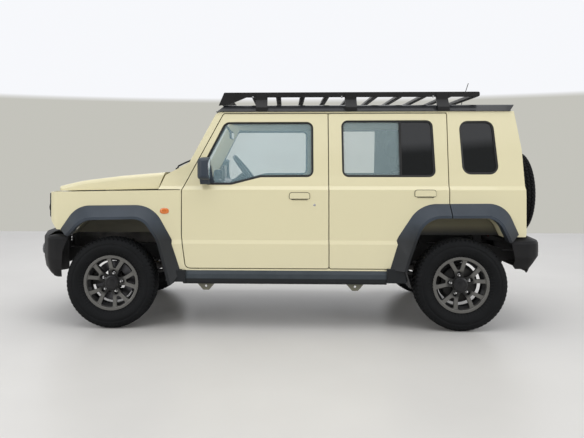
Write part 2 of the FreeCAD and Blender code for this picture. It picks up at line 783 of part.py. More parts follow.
def windscreen():
    """Flat laminated screen between the front posts, leaning back from the cowl to the roof."""
    (x0, z0), (x1, z1) = SCREEN_BASE, SCREEN_TOP
    lean = side_prism([(x0, z0, 0), (x1, z1, 0), (x1 + SCREEN_T, z1, 0), (x0 + SCREEN_T, z0, 0)], -700, 700)
    front = front_prism(
        [
            (-(WAIST_Y - WALL_T + 1), 1100, 0),
            (WAIST_Y - WALL_T + 1, 1100, 0),
            (WINDOW_TOP_Y - WALL_T + 7 - FIT, WINDOW_TOP_Z, 0),
            (RAIL_Y - WALL_T, RAIL_Z, 0),
            (-(RAIL_Y - WALL_T), RAIL_Z, 0),
            (-(WINDOW_TOP_Y - WALL_T + 7 - FIT), WINDOW_TOP_Z, 0),
        ],
        400,
        900,
    )
    return lean.common(front).cut([side_slab(-60, WALL_T + FIT), mirrored(side_slab(-60, WALL_T + FIT))])


FLOOR_Z = 480.0
PAN_T = 12.0
LOAD_FLOOR_Z = 700.0
SIDE_REAR_Z = 690.0
FIREWALL_X = 492.0
COWL_TOP_Z = 1128.0
RISER_X = WHEELBASE - 420.0
WHEELHOUSE_IN_Y = 575.0


def wheelhouse(lip, axle_x, y_in, y_out, low_z):
    """A pressed tunnel over a wheel with its inner wall."""
    shell = arch_prism(lip, axle_x, y_in, y_out, 10).cut(arch_prism(lip, axle_x, y_in + 8, y_out + 5))
    return shell.common(box(axle_x - 700, axle_x + 700, 0, 900, low_z, 1200))


TUNNEL = [
    (FIREWALL_X, FLOOR_Z - 12, 0),
    (FIREWALL_X, 768, 0),
    (600, 700, 40),
    (900, 520, 80),
    (1125, 520, 0),
    (1125, FLOOR_Z - 12, 0),
]


def floor_tub():
    """Floor pans, firewall, wheelhouses and cowl: the pressed underbody that the sides stand on."""
    inner_y = STEP_Y - WALL_T
    low = FLOOR_Z - PAN_T
    floor = box(FIREWALL_X + 40, RISER_X - FIT, -inner_y, inner_y, low, FLOOR_Z)
    toe = side_prism(
        [
            (FIREWALL_X, 760 - FIT, 0),
            (FIREWALL_X + PAN_T, 760 - FIT, 0),
            (FIREWALL_X + 54, FLOOR_Z, 0),
            (FIREWALL_X + 40, low, 0),
        ],
        -inner_y,
        inner_y,
    )
    inside = [
        (FIREWALL_X - 20, 430, 0),
        (FIREWALL_X - 20, 770, 0),
        (596, 690, 40),
        (896, 510, 80),
        (1115, 510, 0),
        (1115, 430, 0),
    ]
    room = side_prism(inside, -150, 150)
    tunnel = side_prism(TUNNEL, -160, 160)
    pan = fused([floor, toe, tunnel]).cut(room)
    firewall = box(FIREWALL_X, FIREWALL_X + PAN_T, -600, 600, 760, COWL_TOP_Z)
    cowl = side_prism(
        [
            (COWL_X + 30, 1100, 0),
            (FIREWALL_X + PAN_T, 1100, 0),
            (SCREEN_BASE[0] - 2, COWL_TOP_Z, 0),
            (COWL_X + 34, 1116, 0),
        ],
        -600,
        600,
    )
    riser = side_prism(
        [
            (RISER_X, low, 0),
            (RISER_X + 14, low, 0),
            (RISER_X + 132, LOAD_FLOOR_Z, 0),
            (RISER_X + 118, LOAD_FLOOR_Z, 0),
        ],
        -inner_y,
        inner_y,
    )
    load = box(RISER_X + 132 + FIT, REAR_X - 100, -660, 660, LOAD_FLOOR_Z - PAN_T, LOAD_FLOOR_Z)
    load = load.cut(both(arch_prism(FLARE_LIP_REAR, WHEELBASE, WHEELHOUSE_IN_Y - FIT, 900, 10 + FIT)))
    tail = rear_slab(0, 30, -600, 600)
    tail = tail.common(box(WHEELBASE, REAR_X + 10, -600, 600, 600, SIDE_REAR_Z - FIT))
    house_rear = wheelhouse(
        FLARE_LIP_REAR, WHEELBASE, WHEELHOUSE_IN_Y, SIDE_Y - DOOR_T - PAN_T, LOAD_FLOOR_Z - PAN_T
    )
    house_front = wheelhouse(FLARE_LIP_FRONT, 0, 560, SIDE_Y - FENDER_T - FIT, 700)
    house_front = house_front.cut(box(FIREWALL_X - FIT, 900, 0, 900, 0, 1200))
    solids = [pan, firewall.fuse(cowl).cut(room), riser, load, tail] + both(house_rear) + both(house_front)
    walls = both(side_slab(-60, WALL_T + FIT, COWL_X - 5, REAR_X + 50))
    made = [solid.cut(walls) for solid in solids]
    arches = both(arch_prism(FLARE_LIP_REAR, WHEELBASE, WHEELHOUSE_IN_Y + 8, 900))
    made = [solid.cut(arches).removeSplitter() for solid in made]
    made[2] = made[2].cut(both(arch_prism(FLARE_LIP_REAR, WHEELBASE, WHEELHOUSE_IN_Y - FIT, 900, 10 + FIT)))
    return made + hood_hinges()


def save(name, shape):
    """Writes one piece in the car's own frame."""
    solids = shape if isinstance(shape, list) else [shape]
    made = [s for piece in solids for s in piece.Solids]
    whole = Part.makeCompound(made) if len(made) > 1 else made[0]
    whole.translate(V(-MIDDLE_X, 0, 0))
    bad = "" if whole.isValid() and all(s.isClosed() for s in made) else "  NOT VALID"
    print(f"{name:20s} {len(made)} solids {whole.Volume / 1e6:9.3f} litres{bad}")
    whole.exportStep(f"parts/{name}.step")


def ladder_frame():
    """Two long rails kicked up over the axles, with cross members and body mounts between and on them."""
    top = [
        (NOSE_X + 30, 560, 0),
        (-330, 560, 60),
        (-250, 590, 120),
        (250, 590, 120),
        (520, 450, 120),
        (WHEELBASE - 400, 450, 90),
        (WHEELBASE - 230, 600, 120),
        (WHEELBASE + 300, 600, 120),
        (REAR_X - 60, 560, 0),
    ]
    low = [(x, z - RAIL_H, r) for x, z, r in reversed(top)]
    y0, y1 = RAIL_IN_Y, RAIL_IN_Y + RAIL_W
    post_z = LOAD_FLOOR_Z - PAN_T - FIT
    rail = fused(
        [
            side_prism(top + low, y0, y1),
            box(NOSE_X - 60, NOSE_X + 80, y0 + 4, y1 - 4, 465, 550),
            box(REAR_X - 100, REAR_X + 40, y0 + 4, y1 - 4, 470, 545),
            box(WHEELBASE - 230, WHEELBASE - 170, y0, y1, 560, post_z),
            box(WHEELBASE + 200, WHEELBASE + 260, y0, y1, 590, post_z),
        ]
    )
    made = [rail, mirrored(rail)]
    for x, z in CROSS_MEMBERS:
        made.append(box(x - 25, x + 25, FIT - y0, y0 - FIT, z, z + 40))
    for x in BODY_MOUNT_XS:
        arm = box(x - 30, x + 30, y1 + FIT, 560, 400, 430)
        cushion = tube((x, 520, 430), (x, 520, FLOOR_Z - PAN_T - FIT), 28)
        made += both(arm.fuse(cushion))
    return made


def radiator():
    """Radiator block with the panel's carrier, standing on the first cross member."""
    core = box(NOSE_X + 60, NOSE_X + 110, -330, 330, 560, 960)
    feet = both(box(NOSE_X + 60, NOSE_X + 100, 200, 260, 520 + FIT, 560))
    carrier = both(box(NOSE_X + 40, NOSE_X + 60, 400, 440, 560, 996))
    beam = box(NOSE_X + 40, NOSE_X + 60, -600, 600, 706, 746)
    top = box(NOSE_X + 40, NOSE_X + 110, -400, 400, 960, 996)
    return fused([core, beam, top] + feet + carrier)


def bumper_loft(plan, levels):
    """A bumper's solid through (height, shrink) levels of its plan, its corners kept round."""
    wires = []
    for z, shrink in levels:
        outline = []
        for (x, y, radius), (_, _, full) in zip(grown(plan, -shrink), plan):
            outline.append((x, y, max(8.0, radius) if full else 0.0))
        wires.append(rounded_wire(outline, lambda x, y, z=z: V(x, y, z)))
    return Part.makeLoft(wires, True, True)


def bumper_shell(plan, open_plan, levels, wall):
    """The bumper as a skin, open below and towards the body."""
    inner = [(levels[0][0] - 20, levels[0][1] + wall)]
    for z, shrink in levels:
        drop = wall if z > levels[-1][0] - 50 else 0
        inner.append((z - drop, shrink + wall))
    return bumper_loft(plan, levels).cut(bumper_loft(open_plan, inner))


def steer_room():
    """The round space that a steered front wheel sweeps about its kingpin, on the right."""
    low = Part.makeCylinder(STEER_CLEAR_R, STEER_CONE_Z, V(0, KINGPIN_Y, 0))
    rise = STEER_TOP_Z - STEER_CONE_Z
    high = Part.makeCone(STEER_CLEAR_R, STEER_TOP_R, rise, V(0, KINGPIN_Y, STEER_CONE_Z))
    return low.fuse(high)


def bumper_front():
    """The black front bumper: bowed in plan, bevelled below, with its ends drawn in to the wheels."""
    front = [
        (BUMPER_BACK_X, BUMPER_Y, 0),
        (-470, BUMPER_Y, 90),
        (-575, 580, 160),
        (-652, 330, 300),
        (-FRONT_OVERHANG, 110, 500),
    ]
    plan = front + [(x, -y, r) for x, y, r in reversed(front)]
    open_plan = [(BUMPER_BACK_X + 200, BUMPER_Y, 0)] + plan[1:-1] + [(BUMPER_BACK_X + 200, -BUMPER_Y, 0)]
    shell = bumper_shell(plan, open_plan, BUMPER_FRONT_LEVELS, BUMPER_WALL)
    end = [
        (-305, 720, 0),
        (-364, 579, 60),
        (-375, 449, 60),
        (-345, 372, 0),
        (-345, 300, 0),
        (-200, 300, 0),
        (-200, 720, 0),
    ]
    tools = both(steer_room()) + [side_prism(end, -900, 900)]
    tools.append(box(NOSE_X - 12, 0, -BUMPER_Y + 60, BUMPER_Y - 60, 300, 720))
    tools.append(front_prism(rect(-AIR_SLOT_Y, AIR_SLOT_Y, *AIR_SLOT_ZS, 22), -700, -560))
    tools += [tube((-700, s * FOG_Y, FOG_Z), (-560, s * FOG_Y, FOG_Z), FOG_R + FIT) for s in (-1, 1)]
    shell = cut(shell, tools)
    bars = [box(-668, -650, -AIR_SLOT_Y - 8, AIR_SLOT_Y + 8, z - 5, z + 5) for z in AIR_BAR_ZS]
    bars = [bar.common(bumper_loft(plan, BUMPER_FRONT_LEVELS)) for bar in bars]
    mounts = both(box(-640, NOSE_X - 60 - FIT, RAIL_IN_Y + 4, RAIL_IN_Y + RAIL_W - 4, 515, 550))
    return fused([shell] + bars + mounts)


def fog_lamps():
    """Round lamps set in the front bumper."""
    made = []
    for s in (-1, 1):
        lamp = tube((FOG_FACE_X, s * FOG_Y, FOG_Z), (FOG_FACE_X + 34, s * FOG_Y, FOG_Z), FOG_R)
        made.append(lamp.makeFillet(5, [lamp.Edges[0]]))
    return made


def bumper_rear():
    """The black rear bumper with rounded ends, bevelled below and lowered under the spare wheel."""
    rear = [(WHEELBASE + 345, BUMPER_Y, 0), (TAIL_X - 60, BUMPER_Y, 90), (TAIL_X, BUMPER_Y - 118, 60)]
    plan = rear + [(x, -y, r) for x, y, r in reversed(rear)]
    open_plan = [(WHEELBASE + 200, BUMPER_Y, 0)] + plan[1:-1] + [(WHEELBASE + 200, -BUMPER_Y, 0)]
    shell = bumper_shell(plan, open_plan, BUMPER_REAR_LEVELS, BUMPER_WALL)
    end = [
        (WHEELBASE + 345, 720, 0),
        (WHEELBASE + 392, 520, 60),
        (WHEELBASE + 378, 436, 0),
        (WHEELBASE + 378, 380, 0),
        (WHEELBASE + 200, 380, 0),
        (WHEELBASE + 200, 720, 0),
    ]
    body_y = BUMPER_Y - 60
    tools = [
        side_prism(end, -900, 900),
        box(TAIL_ROOM[0], REAR_X + 12, -body_y, body_y, 300, 720),
        box(*TAIL_ROOM, -SPARE_NOTCH_Y, SPARE_NOTCH_Y, 622, 720),
    ]
    for s in (-1, 1):
        y0, y1 = sorted((s * TAIL_LAMP_YS[0], s * TAIL_LAMP_YS[1]))
        tools.append(box(TAIL_X - 30, TAIL_X + 10, y0, y1, *TAIL_LAMP_ZS))
    shell = cut(shell, tools)
    brace = both(box(REAR_X + 40 + FIT, TAIL_X - 8, RAIL_IN_Y + 4, RAIL_IN_Y + RAIL_W - 4, 500, 540))
    return fused([shell] + brace)


def tail_lamps():
    """Lamp units that fill the openings in the rear bumper."""
    made = []
    z0, z1 = TAIL_LAMP_ZS
    for s in (-1, 1):
        y0, y1 = sorted((s * (TAIL_LAMP_YS[0] + FIT), s * (TAIL_LAMP_YS[1] - FIT)))
        lamp = box(TAIL_X - 26, TAIL_X + 3, y0, y1, z0 + FIT, z1 - FIT)
        edges = [e for e in lamp.Edges if min(v.X for v in e.Vertexes) > TAIL_X]
        made.append(lamp.makeFillet(5, edges))
    return made


def sill_cover():
    """The black moulding under the doors, from wheel arch to wheel arch."""
    section = [
        (STEP_Y - 40, 328, 10),
        (STEP_Y + 14, 340, 20),
        (STEP_Y + 14, 410, 12),
        (STEP_Y + FIT, 436, 0),
        (STEP_Y + FIT, SILL_BOTTOM_Z - FIT, 0),
        (STEP_Y - 40, SILL_BOTTOM_Z - FIT, 0),
    ]
    cover = front_prism(section, 400, WHEELBASE - 300)
    tools = []
    for out, lip, axle_x in (
        (FLARE_OUT_FRONT, FLARE_LIP_FRONT, 0),
        (FLARE_OUT_REAR, FLARE_LIP_REAR, WHEELBASE),
    ):
        tools.append(arch_prism(lip, axle_x, 400, 900))
        root = [(x + axle_x, z, r) for x, z, r in out]
        below = [(root[-1][0], 300, 0), (root[0][0], 300, 0)]
        tools.append(side_prism(grown(root + below, 2 + FIT), 400, 900))
    return cover.cut(tools)


def back_glass():
    """Rear window in its groove."""
    slab = rear_slab(GLASS_DEPTH + FIT, GLASS_DEPTH + GLASS_T - FIT, -700, 700)
    return slab.common(front_prism(grown(BACK_WINDOW, GLASS_EDGE - FIT), *TAIL_ROOM))


TAIL_ROOM = (WHEELBASE + 210.0, WHEELBASE + 700.0)
BACK_LEDGE = 35.0
BACK_DOOR = [
    (-622, SIDE_REAR_Z + 15, 40),
    (622, SIDE_REAR_Z + 15, 40),
    (622, 1100, 200),
    (560, DOOR_TOP_Z - 6, 60),
    (-560, DOOR_TOP_Z - 6, 60),
    (-622, 1100, 200),
]
BACK_WINDOW = [(-520, 1150, 50), (520, 1150, 50), (488, 1530, 50), (-488, 1530, 50)]
SPARE_X = WHEELBASE + REAR_OVERHANG - TYRE_WIDTH / 2
SPARE_Z = 990.0
BACK_HINGE_X = REAR_X + 16.0
BACK_HINGE_Y = 640.0
BACK_HINGE_ZS = (800.0, 1080.0)


def back_door():
    """The side-hinged back door with its window cut and the spare wheel's carrier."""
    leaf = rear_slab(0, DOOR_T, -700, 700).common(front_prism(BACK_DOOR, *TAIL_ROOM))
    tools = [front_prism(BACK_WINDOW, *TAIL_ROOM)]
    tools.append(
        rear_slab(GLASS_DEPTH, GLASS_DEPTH + GLASS_T, -700, 700).common(
            front_prism(grown(BACK_WINDOW, GLASS_EDGE), *TAIL_ROOM)
        )
    )
    leaf = cut(leaf, tools)
    carrier = tube((REAR_X - 6, 0, SPARE_Z), (SPARE_X + 3 - FIT, 0, SPARE_Z), 62)
    plate = tube((REAR_X - 6, 0, SPARE_Z), (REAR_X + 12, 0, SPARE_Z), 120)
    parts = [leaf, carrier, plate]
    for z in BACK_HINGE_ZS:
        barrel = tube((BACK_HINGE_X, BACK_HINGE_Y, z - 40), (BACK_HINGE_X, BACK_HINGE_Y, z - 1), 11)
        arm = box(REAR_X - 8, BACK_HINGE_X + 6, BACK_HINGE_Y - 120, BACK_HINGE_Y, z - 40, z - 1)
        bore = tube((BACK_HINGE_X, BACK_HINGE_Y, z - 45), (BACK_HINGE_X, BACK_HINGE_Y, z + 5), 6 + FIT)
        parts.append(barrel.fuse(arm).cut(bore))
    return fused(parts)


def rear_corner():
    """Right rear corner: the panel between the body side and the back door, with hinge pins."""
    outline = [
        (540, SIDE_REAR_Z, 0),
        (900, SIDE_REAR_Z, 0),
        (900, RAIL_Z, 0),
        (470, RAIL_Z, 0),
    ]
    wall = rear_slab(0, 90, 540, 760).common(front_prism(outline, *TAIL_ROOM))
    return wall.cut(side_slab(-200, 0))


def rear_opening():
    """The room of the back door and the way through behind it."""
    door_room = front_prism(grown(BACK_DOOR, GAP), *TAIL_ROOM)
    room = rear_slab(-20, DOOR_T + 12, -700, 700).common(door_room)
    arms = [box(REAR_X - 20, REAR_X + 30, 560, BACK_HINGE_Y + 12, z - 46, z + 1) for z in BACK_HINGE_ZS]
    return arms + [room, front_prism(grown(BACK_DOOR, -BACK_LEDGE), *TAIL_ROOM)]


def pins_for_back_door():
    made = []
    for z in BACK_HINGE_ZS:
        barrel = tube((BACK_HINGE_X, BACK_HINGE_Y, z + 1), (BACK_HINGE_X, BACK_HINGE_Y, z + 40), 11)
        pin = tube((BACK_HINGE_X, BACK_HINGE_Y, z - 40), (BACK_HINGE_X, BACK_HINGE_Y, z + 40), 6)
        arm = box(REAR_X - 20, BACK_HINGE_X + 6, BACK_HINGE_Y, BACK_HINGE_Y + 60, z + 1, z + 40)
        made.append(fused([barrel, pin, arm]))
    return made


def dashboard():
    """The dashboard with the steering column's housing."""
    shape = [
        (FIREWALL_X + 12.3, 1080, 0),
        (FIREWALL_X + 12.3, 860, 0),
        (760, 860, 60),
        (850, 960, 60),
        (860, 1060, 40),
        (720, 1112, 40),
        (560, 1100, 0),
    ]
    body = side_prism(shape, -(WAIST_Y - WALL_T - 8), WAIST_Y - WALL_T - 8)
    return fused([body, tube(at_column(400), at_column(29.5 + FIT), 34)])


STEER_CENTRE = (999.0, -350.0, 1153.0)
COLUMN_RUN = (-0.79, -0.613)


def at_column(distance):
    """A point on the steering column's axis, ahead of the wheel's centre."""
    x, y, z = STEER_CENTRE
    return (x + COLUMN_RUN[0] * distance, y, z + COLUMN_RUN[1] * distance)


def steering_wheel():
    """Rim, three spokes and hub, square to the column."""
    ring = Part.makeTorus(172, 14)
    hub = Part.makeCylinder(62, 40, V(0, 0, -14))
    shaft = Part.makeCylinder(14, 16, V(0, 0, -29.5))
    wheel = [ring, hub, shaft]
    for degrees in (0, 180, 270):
        spoke = box(10, 172, -16, 16, -8, 8)
        spoke.rotate(V(0, 0, 0), V(0, 0, 1), degrees)
        wheel.append(spoke)
    shape = fused(wheel)
    axis = V(-COLUMN_RUN[0], 0, -COLUMN_RUN[1])
    shape.Placement = FreeCAD.Placement(V(*STEER_CENTRE), FreeCAD.Rotation(V(0, 0, 1), axis))
    return shape


def seat(y0, y1, x, base_z, rest_ys):
    """One seat as cushion on its plinth, leaning back, and head rests on posts."""
    cushion = side_prism(
        [
            (x, base_z + 70, 40),
            (x + 500, base_z + 50, 50),
            (x + 500, base_z + 190, 40),
            (x, base_z + 210, 50),
        ],
        y0,
        y1,
    )
    plinth = box(x + 60, x + 440, y0 + 75, y1 - 75, base_z + FIT, base_z + 90)
    base = fused([cushion, plinth])
    leaning = [
        (x + 420, base_z + 130, 30),
        (x + 540, base_z + 110, 50),
        (x + 700, base_z + 680, 40),
        (x + 610, base_z + 700, 40),
    ]
    back = side_prism(leaning, y0 + 15, y1 - 15)
    room = side_prism(
        [
            (x - 50, base_z + 40, 0),
            (x + 500 + FIT, base_z + 40, 0),
            (x + 500 + FIT, base_z + 190 + FIT, 40),
            (x - 50, base_z + 212 + FIT, 0),
        ],
        y0 - 10,
        y1 + 10,
    )
    made = [base, back.cut(room)]
    for y in rest_ys:
        pad = side_prism(
            [
                (x + 616, base_z + 740, 20),
                (x + 700, base_z + 730, 30),
                (x + 725, base_z + 890, 40),
                (x + 650, base_z + 900, 30),
            ],
            y - 130,
            y + 130,
        )
        posts = [
            tube((x + 648, y + s, base_z + 680), (x + 672, y + s, base_z + 760), 7)
            for s in (-60, 60)
        ]
        made.append(fused([pad] + posts).cut(side_prism(grown(leaning, FIT), y0, y1)))
    return made


def seats():
    """Two front seats and the rear bench with two head rests."""
    right = seat(100, 570, 1040, FLOOR_Z, [335])
    bench = seat(-585, 585, 1700, FLOOR_Z, [-310, 310])
    return right + [mirrored(piece) for piece in right] + bench


def powertrain():
    """Engine, gearbox, transfer case and propeller shafts in their real places."""
    engine = box(-260, 300, -190, 190, 560, 940)
    sump = box(-120, 260, -150, 150, 505, 560)
    outline = [
        (300, 740, 0),
        (300, 500, 0),
        (860, 360, 0),
        (860, 450, 0),
        (620, 590, 0),
        (470, 690, 0),
    ]
    gearbox = side_prism(outline, -110, 110)
    transfer = box(860, 1110, -110, 190, 320, 450)
    front_shaft = tube((870, 90, 362), (93, 90, 345), 25)
    rear_shaft = tube((1100, 40, 375), (WHEELBASE - 93, 40, 345), 28)
    feet = both(box(-60, 40, 180, RAIL_IN_Y + 20, 590 + FIT, 605))
    return fused([engine, sump, gearbox, transfer, front_shaft, rear_shaft] + feet)


def axle_tube(x, reach, y_diff):
    """The beam of a rigid axle with its differential housing and the spring perches."""
    beam = tube((x, -reach, TYRE_RADIUS), (x, reach, TYRE_RADIUS), AXLE_R)
    low, high = TYRE_RADIUS - DIFF_R, TYRE_RADIUS + DIFF_R
    diff = Part.makeSphere(DIFF_R, V(x, y_diff, TYRE_RADIUS))
    diff = diff.common(box(x - 90, x + 92, y_diff - 120, y_diff + 120, low, high))
    top = TYRE_RADIUS + AXLE_R
    perches = []
    for s in (-1, 1):
        y = s * (RAIL_IN_Y + RAIL_W / 2)
        perches.append(tube((x, y, top - 20), (x, y, top + PERCH_RISE), COIL_R + 12))
    return [beam, diff] + perches


def front_axle():
    """The rigid front axle with the kingpin eyes at its ends."""
    parts = axle_tube(0, KINGPIN_Y - 10, 90)
    for s in (-1, 1):
        y = s * KINGPIN_Y
        parts.append(tube((0, y, TYRE_RADIUS - 56), (0, y, TYRE_RADIUS + 56), 44))
        parts.append(tube((0, y, TYRE_RADIUS - 82), (0, y, TYRE_RADIUS + 82), 12))
    return fused(parts)


def rear_axle():
    """The rigid rear axle with its wheel spindles."""
    parts = axle_tube(WHEELBASE, TRACK / 2 - 90, 40)
    for s in (-1, 1):
        flange, end = s * (TRACK / 2 - 10), s * (TRACK / 2 + SPINDLE_OUT)
        root = s * (TRACK / 2 - 100)
        parts.append(tube((WHEELBASE, root, TYRE_RADIUS), (WHEELBASE, flange, TYRE_RADIUS), 60))
        parts.append(tube((WHEELBASE, root, TYRE_RADIUS), (WHEELBASE, end, TYRE_RADIUS), SPINDLE_R))
    return fused(parts)


STEER_ARM_X = 130.0


def knuckle(side):
    """A steering knuckle: a fork round the axle's eye, a wheel spindle and the steering arm."""
    y = side * KINGPIN_Y
    z = TYRE_RADIUS
    near, far = y - side * 24, y + side * 74
    lug = box(-30, 30, min(near, far), max(near, far), z + 62, z + 82)
    low = box(-30, 30, min(near, far), max(near, far), z - 82, z - 62)
    back0, back1 = y + side * 58, y + side * 74
    back = box(-40, 40, min(back0, back1), max(back0, back1), z - 82, z + 82)
    spindle = tube((0, back1 - side * 4, z), (0, side * (TRACK / 2 + SPINDLE_OUT), z), SPINDLE_R)
    arm = box(0, STEER_ARM_X, y - 15, y + 15, z - 82, z - 66)
    eye = tube((STEER_ARM_X, y, z - 82), (STEER_ARM_X, y, z - 66), 17)
    body = fused([lug, low, back, spindle, arm, eye])
    holes = [
        tube((0, y, z - 90), (0, y, z + 90), 12 + FIT),
        tube((STEER_ARM_X, y, z - 90), (STEER_ARM_X, y, z - 60), 8 + FIT),
    ]
    return cut(body, holes)


def tie_rod():
    """The rod that joins both steering arms."""
    z = TYRE_RADIUS - 48
    rod = tube((STEER_ARM_X, -KINGPIN_Y, z), (STEER_ARM_X, KINGPIN_Y, z), 12)
    parts = [rod]
    for s in (-1, 1):
        parts.append(tube((STEER_ARM_X, s * KINGPIN_Y, z - 17), (STEER_ARM_X, s * KINGPIN_Y, z + 14), 15))
        parts.append(tube((STEER_ARM_X, s * KINGPIN_Y, z - 34), (STEER_ARM_X, s * KINGPIN_Y, z), 8))
    return fused(parts)


def coil(x, y, z0, z1):
    """A coil spring standing between two heights, flat ended, its wire rolled with flats."""
    height = z1 - z0
    line = Part.makeHelix(height / COIL_TURNS, height, COIL_R)
    corners = []
    for i in range(COIL_WIRE_FLATS + 1):
        a = math.tau / COIL_WIRE_FLATS * (i + 0.5)
        corners.append(V(COIL_R + COIL_WIRE_R * math.cos(a), 0, COIL_WIRE_R * math.sin(a)))
    body = Part.Wire(line).makePipeShell([Part.makePolygon(corners)], True, True)
    body = Part.Solid(body) if body.ShapeType != "Solid" else body
    body.translate(V(x, y, z0))
    return body.common(box(x - 90, x + 90, y - 90, y + 90, z0, z1))


def suspension():
    """Links, coil springs and dampers of both axles."""
    made = []
    rail_outer = RAIL_IN_Y + RAIL_W
    rail_y = RAIL_IN_Y + RAIL_W / 2
    perch_z = TYRE_RADIUS + AXLE_R + PERCH_RISE + FIT
    for s in (-1, 1):
        y = s * (rail_outer + LINK_R + FIT)
        made.append(tube((AXLE_R + 1.5, y, 342), (560, y, 405), LINK_R))
        made.append(tube((WHEELBASE - AXLE_R - 1.5, y, 338), (WHEELBASE - 620, y, 400), LINK_R))
        y = s * (rail_outer + DAMPER_R + FIT)
        for x in (DAMPER_SET, WHEELBASE + DAMPER_SET):
            made.append(tube((x, y, TYRE_RADIUS + AXLE_R - 12), (x, y, 560), DAMPER_R))
        made.append(coil(0, s * rail_y, perch_z, 590 - RAIL_H - FIT))
        made.append(coil(WHEELBASE, s * rail_y, perch_z, 600 - RAIL_H - FIT))
    return made


def fuel_tank():
    return box(*TANK_XS, FIT - RAIL_IN_Y, -20, 300, 440)


def exhaust():
    """Silencer and tail pipe."""
    pipe = tube((WHEELBASE + 250, 235, 440), (REAR_X + 20, 235, 440), 22)
    silencer = side_prism(rect(WHEELBASE + 110, WHEELBASE + 300, 395, 515, 40), 150, RAIL_IN_Y - FIT)
    return fused([pipe, silencer])


def spoke_window(at, stations, y0, y1):
    """A rounded opening through the wheel's face: stations of (radius, half angle, corner)."""
    left = [(r, at - half, corner) for r, half, corner in stations]
    right = [(r, at + half, corner) for r, half, corner in reversed(stations) if half]
    outline = []
    for r, degrees, corner in left + right:
        a = math.radians(degrees)
        outline.append((r * math.cos(a), r * math.sin(a), corner))
    return side_prism(outline, y0, y1)


def nut_pocket(at, y0, y1):
    """The hollow in a spoke's root, from the wheel nut out to the fork."""
    a = math.radians(at)
    along, across = (math.cos(a), math.sin(a)), (-math.sin(a), math.cos(a))
    outline = []
    for u, v in ((57, -13), (99, -14), (99, 14), (57, 13)):
        outline.append((u * along[0] + v * across[0], u * along[1] + v * across[1], 12.5))
    return side_prism(outline, y0, y1)


def turned(corners):
    """A profile of (radius, y, corner radius) turned about the Y axis."""
    wire = rounded_wire(corners, lambda r, y: V(r, y, 0))
    return Part.Face(wire).revolve(V(0, 0, 0), V(0, 1, 0), 360)


def wheel_face(turn):
    """Five forked spokes cut from a dished disc, one fork pointing at the given angle."""
    disc = turned(
        [
            (0, 12, 0),
            (58, 12, 8),
            (100, 24, 60),
            (165, 34, 40),
            (187, 38, 0),
            (187, 64, 0),
            (176, 63, 20),
            (100, 54, 160),
            (58, 46, 10),
            (0, 46, 0),
        ]
    )
    wide = [(63, 9, 8), (108, 17.5, 30), (183, 14.8, 12), (188.5, 0, 150)]
    narrow = [(111, 5, 7), (181, 12, 9), (186.5, 0, 150)]
    tools = []
    for i in range(SPOKE_COUNT):
        fork = turn + 360.0 / SPOKE_COUNT * i
        tools.append(spoke_window(fork + 180.0 / SPOKE_COUNT, wide, 0, 90))
        tools.append(spoke_window(fork, narrow, 0, 90))
        tools.append(nut_pocket(fork, 37, 90))
    return disc.cut(tools)


def rim(turn):
    """A wheel about the Y axis, its outer face towards +Y, at the origin."""
    half = RIM_WIDTH / 2
    r = BEAD_RADIUS
    barrel = turned(
        [
            (r - 9, -half, 0),
            (RIM_FLANGE_RADIUS, -half, 0),
            (RIM_FLANGE_RADIUS, -half + RIM_LIP_T, 0),
            (r, -half + RIM_LIP_T, 0),
            (r, -half + 30, 0),
            (r - 18, -half + 42, 0),
            (r - 18, half - 42, 0),
            (r, half - 30, 0),
            (r, half - RIM_LIP_T, 0),
            (RIM_FLANGE_RADIUS, half - RIM_LIP_T, 0),
            (RIM_FLANGE_RADIUS, half, 3),
            (r - 6, half, 5),
            (r - 9, half - 34, 0),
            (r - 26, half - 46, 0),
            (r - 26, -half + 46, 0),
            (r - 9, -half + 34, 0),
        ]
    )
    pad = tube((0, 3, 0), (0, 14, 0), 66)
    cap = turned([(0, 40, 0), (CAP_R, 40, 0), (CAP_R, 57, 5), (0, 61, 0)])
    body = fused([barrel, wheel_face(turn), pad, cap])
    return body.cut(tube((0, -20, 0), (0, 42, 0), SPINDLE_R + FIT))


def tyre():
    """A tyre about the Y axis, its profile turned in flats as wide as the tread's pitch."""
    half = TYRE_WIDTH / 2
    seat_half = RIM_WIDTH / 2 - RIM_LIP_T - FIT
    bead_r = (BEAD_RADIUS + FIT) / math.cos(math.pi / TREAD_FLATS)
    right = [
        (bead_r, seat_half),
        (RIM_FLANGE_RADIUS + 4, seat_half),
        (RIM_FLANGE_RADIUS + 45, half),
        (TYRE_RADIUS - 43, half),
        (TYRE_RADIUS - 14, half - 11),
        (TYRE_RADIUS, half - 36),
    ]
    profile = right + [(r, -y) for r, y in reversed(right)]
    faces = []
    for i in range(TREAD_FLATS):
        a, b = (math.tau / TREAD_FLATS * (i + step) for step in (-0.5, 0.5))
        for (r0, y0), (r1, y1) in zip(profile, profile[1:] + profile[:1]):
            corners = [(r0, y0, a), (r1, y1, a), (r1, y1, b), (r0, y0, b), (r0, y0, a)]
            edge = Part.makePolygon([V(r * math.cos(t), y, r * math.sin(t)) for r, y, t in corners])
            faces.append(Part.Face(edge))
    body = Part.Solid(Part.Shell(faces))
    if body.Volume < 0:
        body.reverse()
    return body


def wheel_at(shape, x, y, side):
    """A tyre or rim at its axle's height, mirrored for the car's left."""
    made = shape if side > 0 else mirrored(shape)
    made = made.copy()
    made.translate(V(x, y, TYRE_RADIUS))
    return made


def spare(shape):
    made = shape.copy()
    made.rotate(V(0, 0, 0), V(0, 0, 1), -90)
    made.translate(V(SPARE_X, 0, SPARE_Z))
    return made


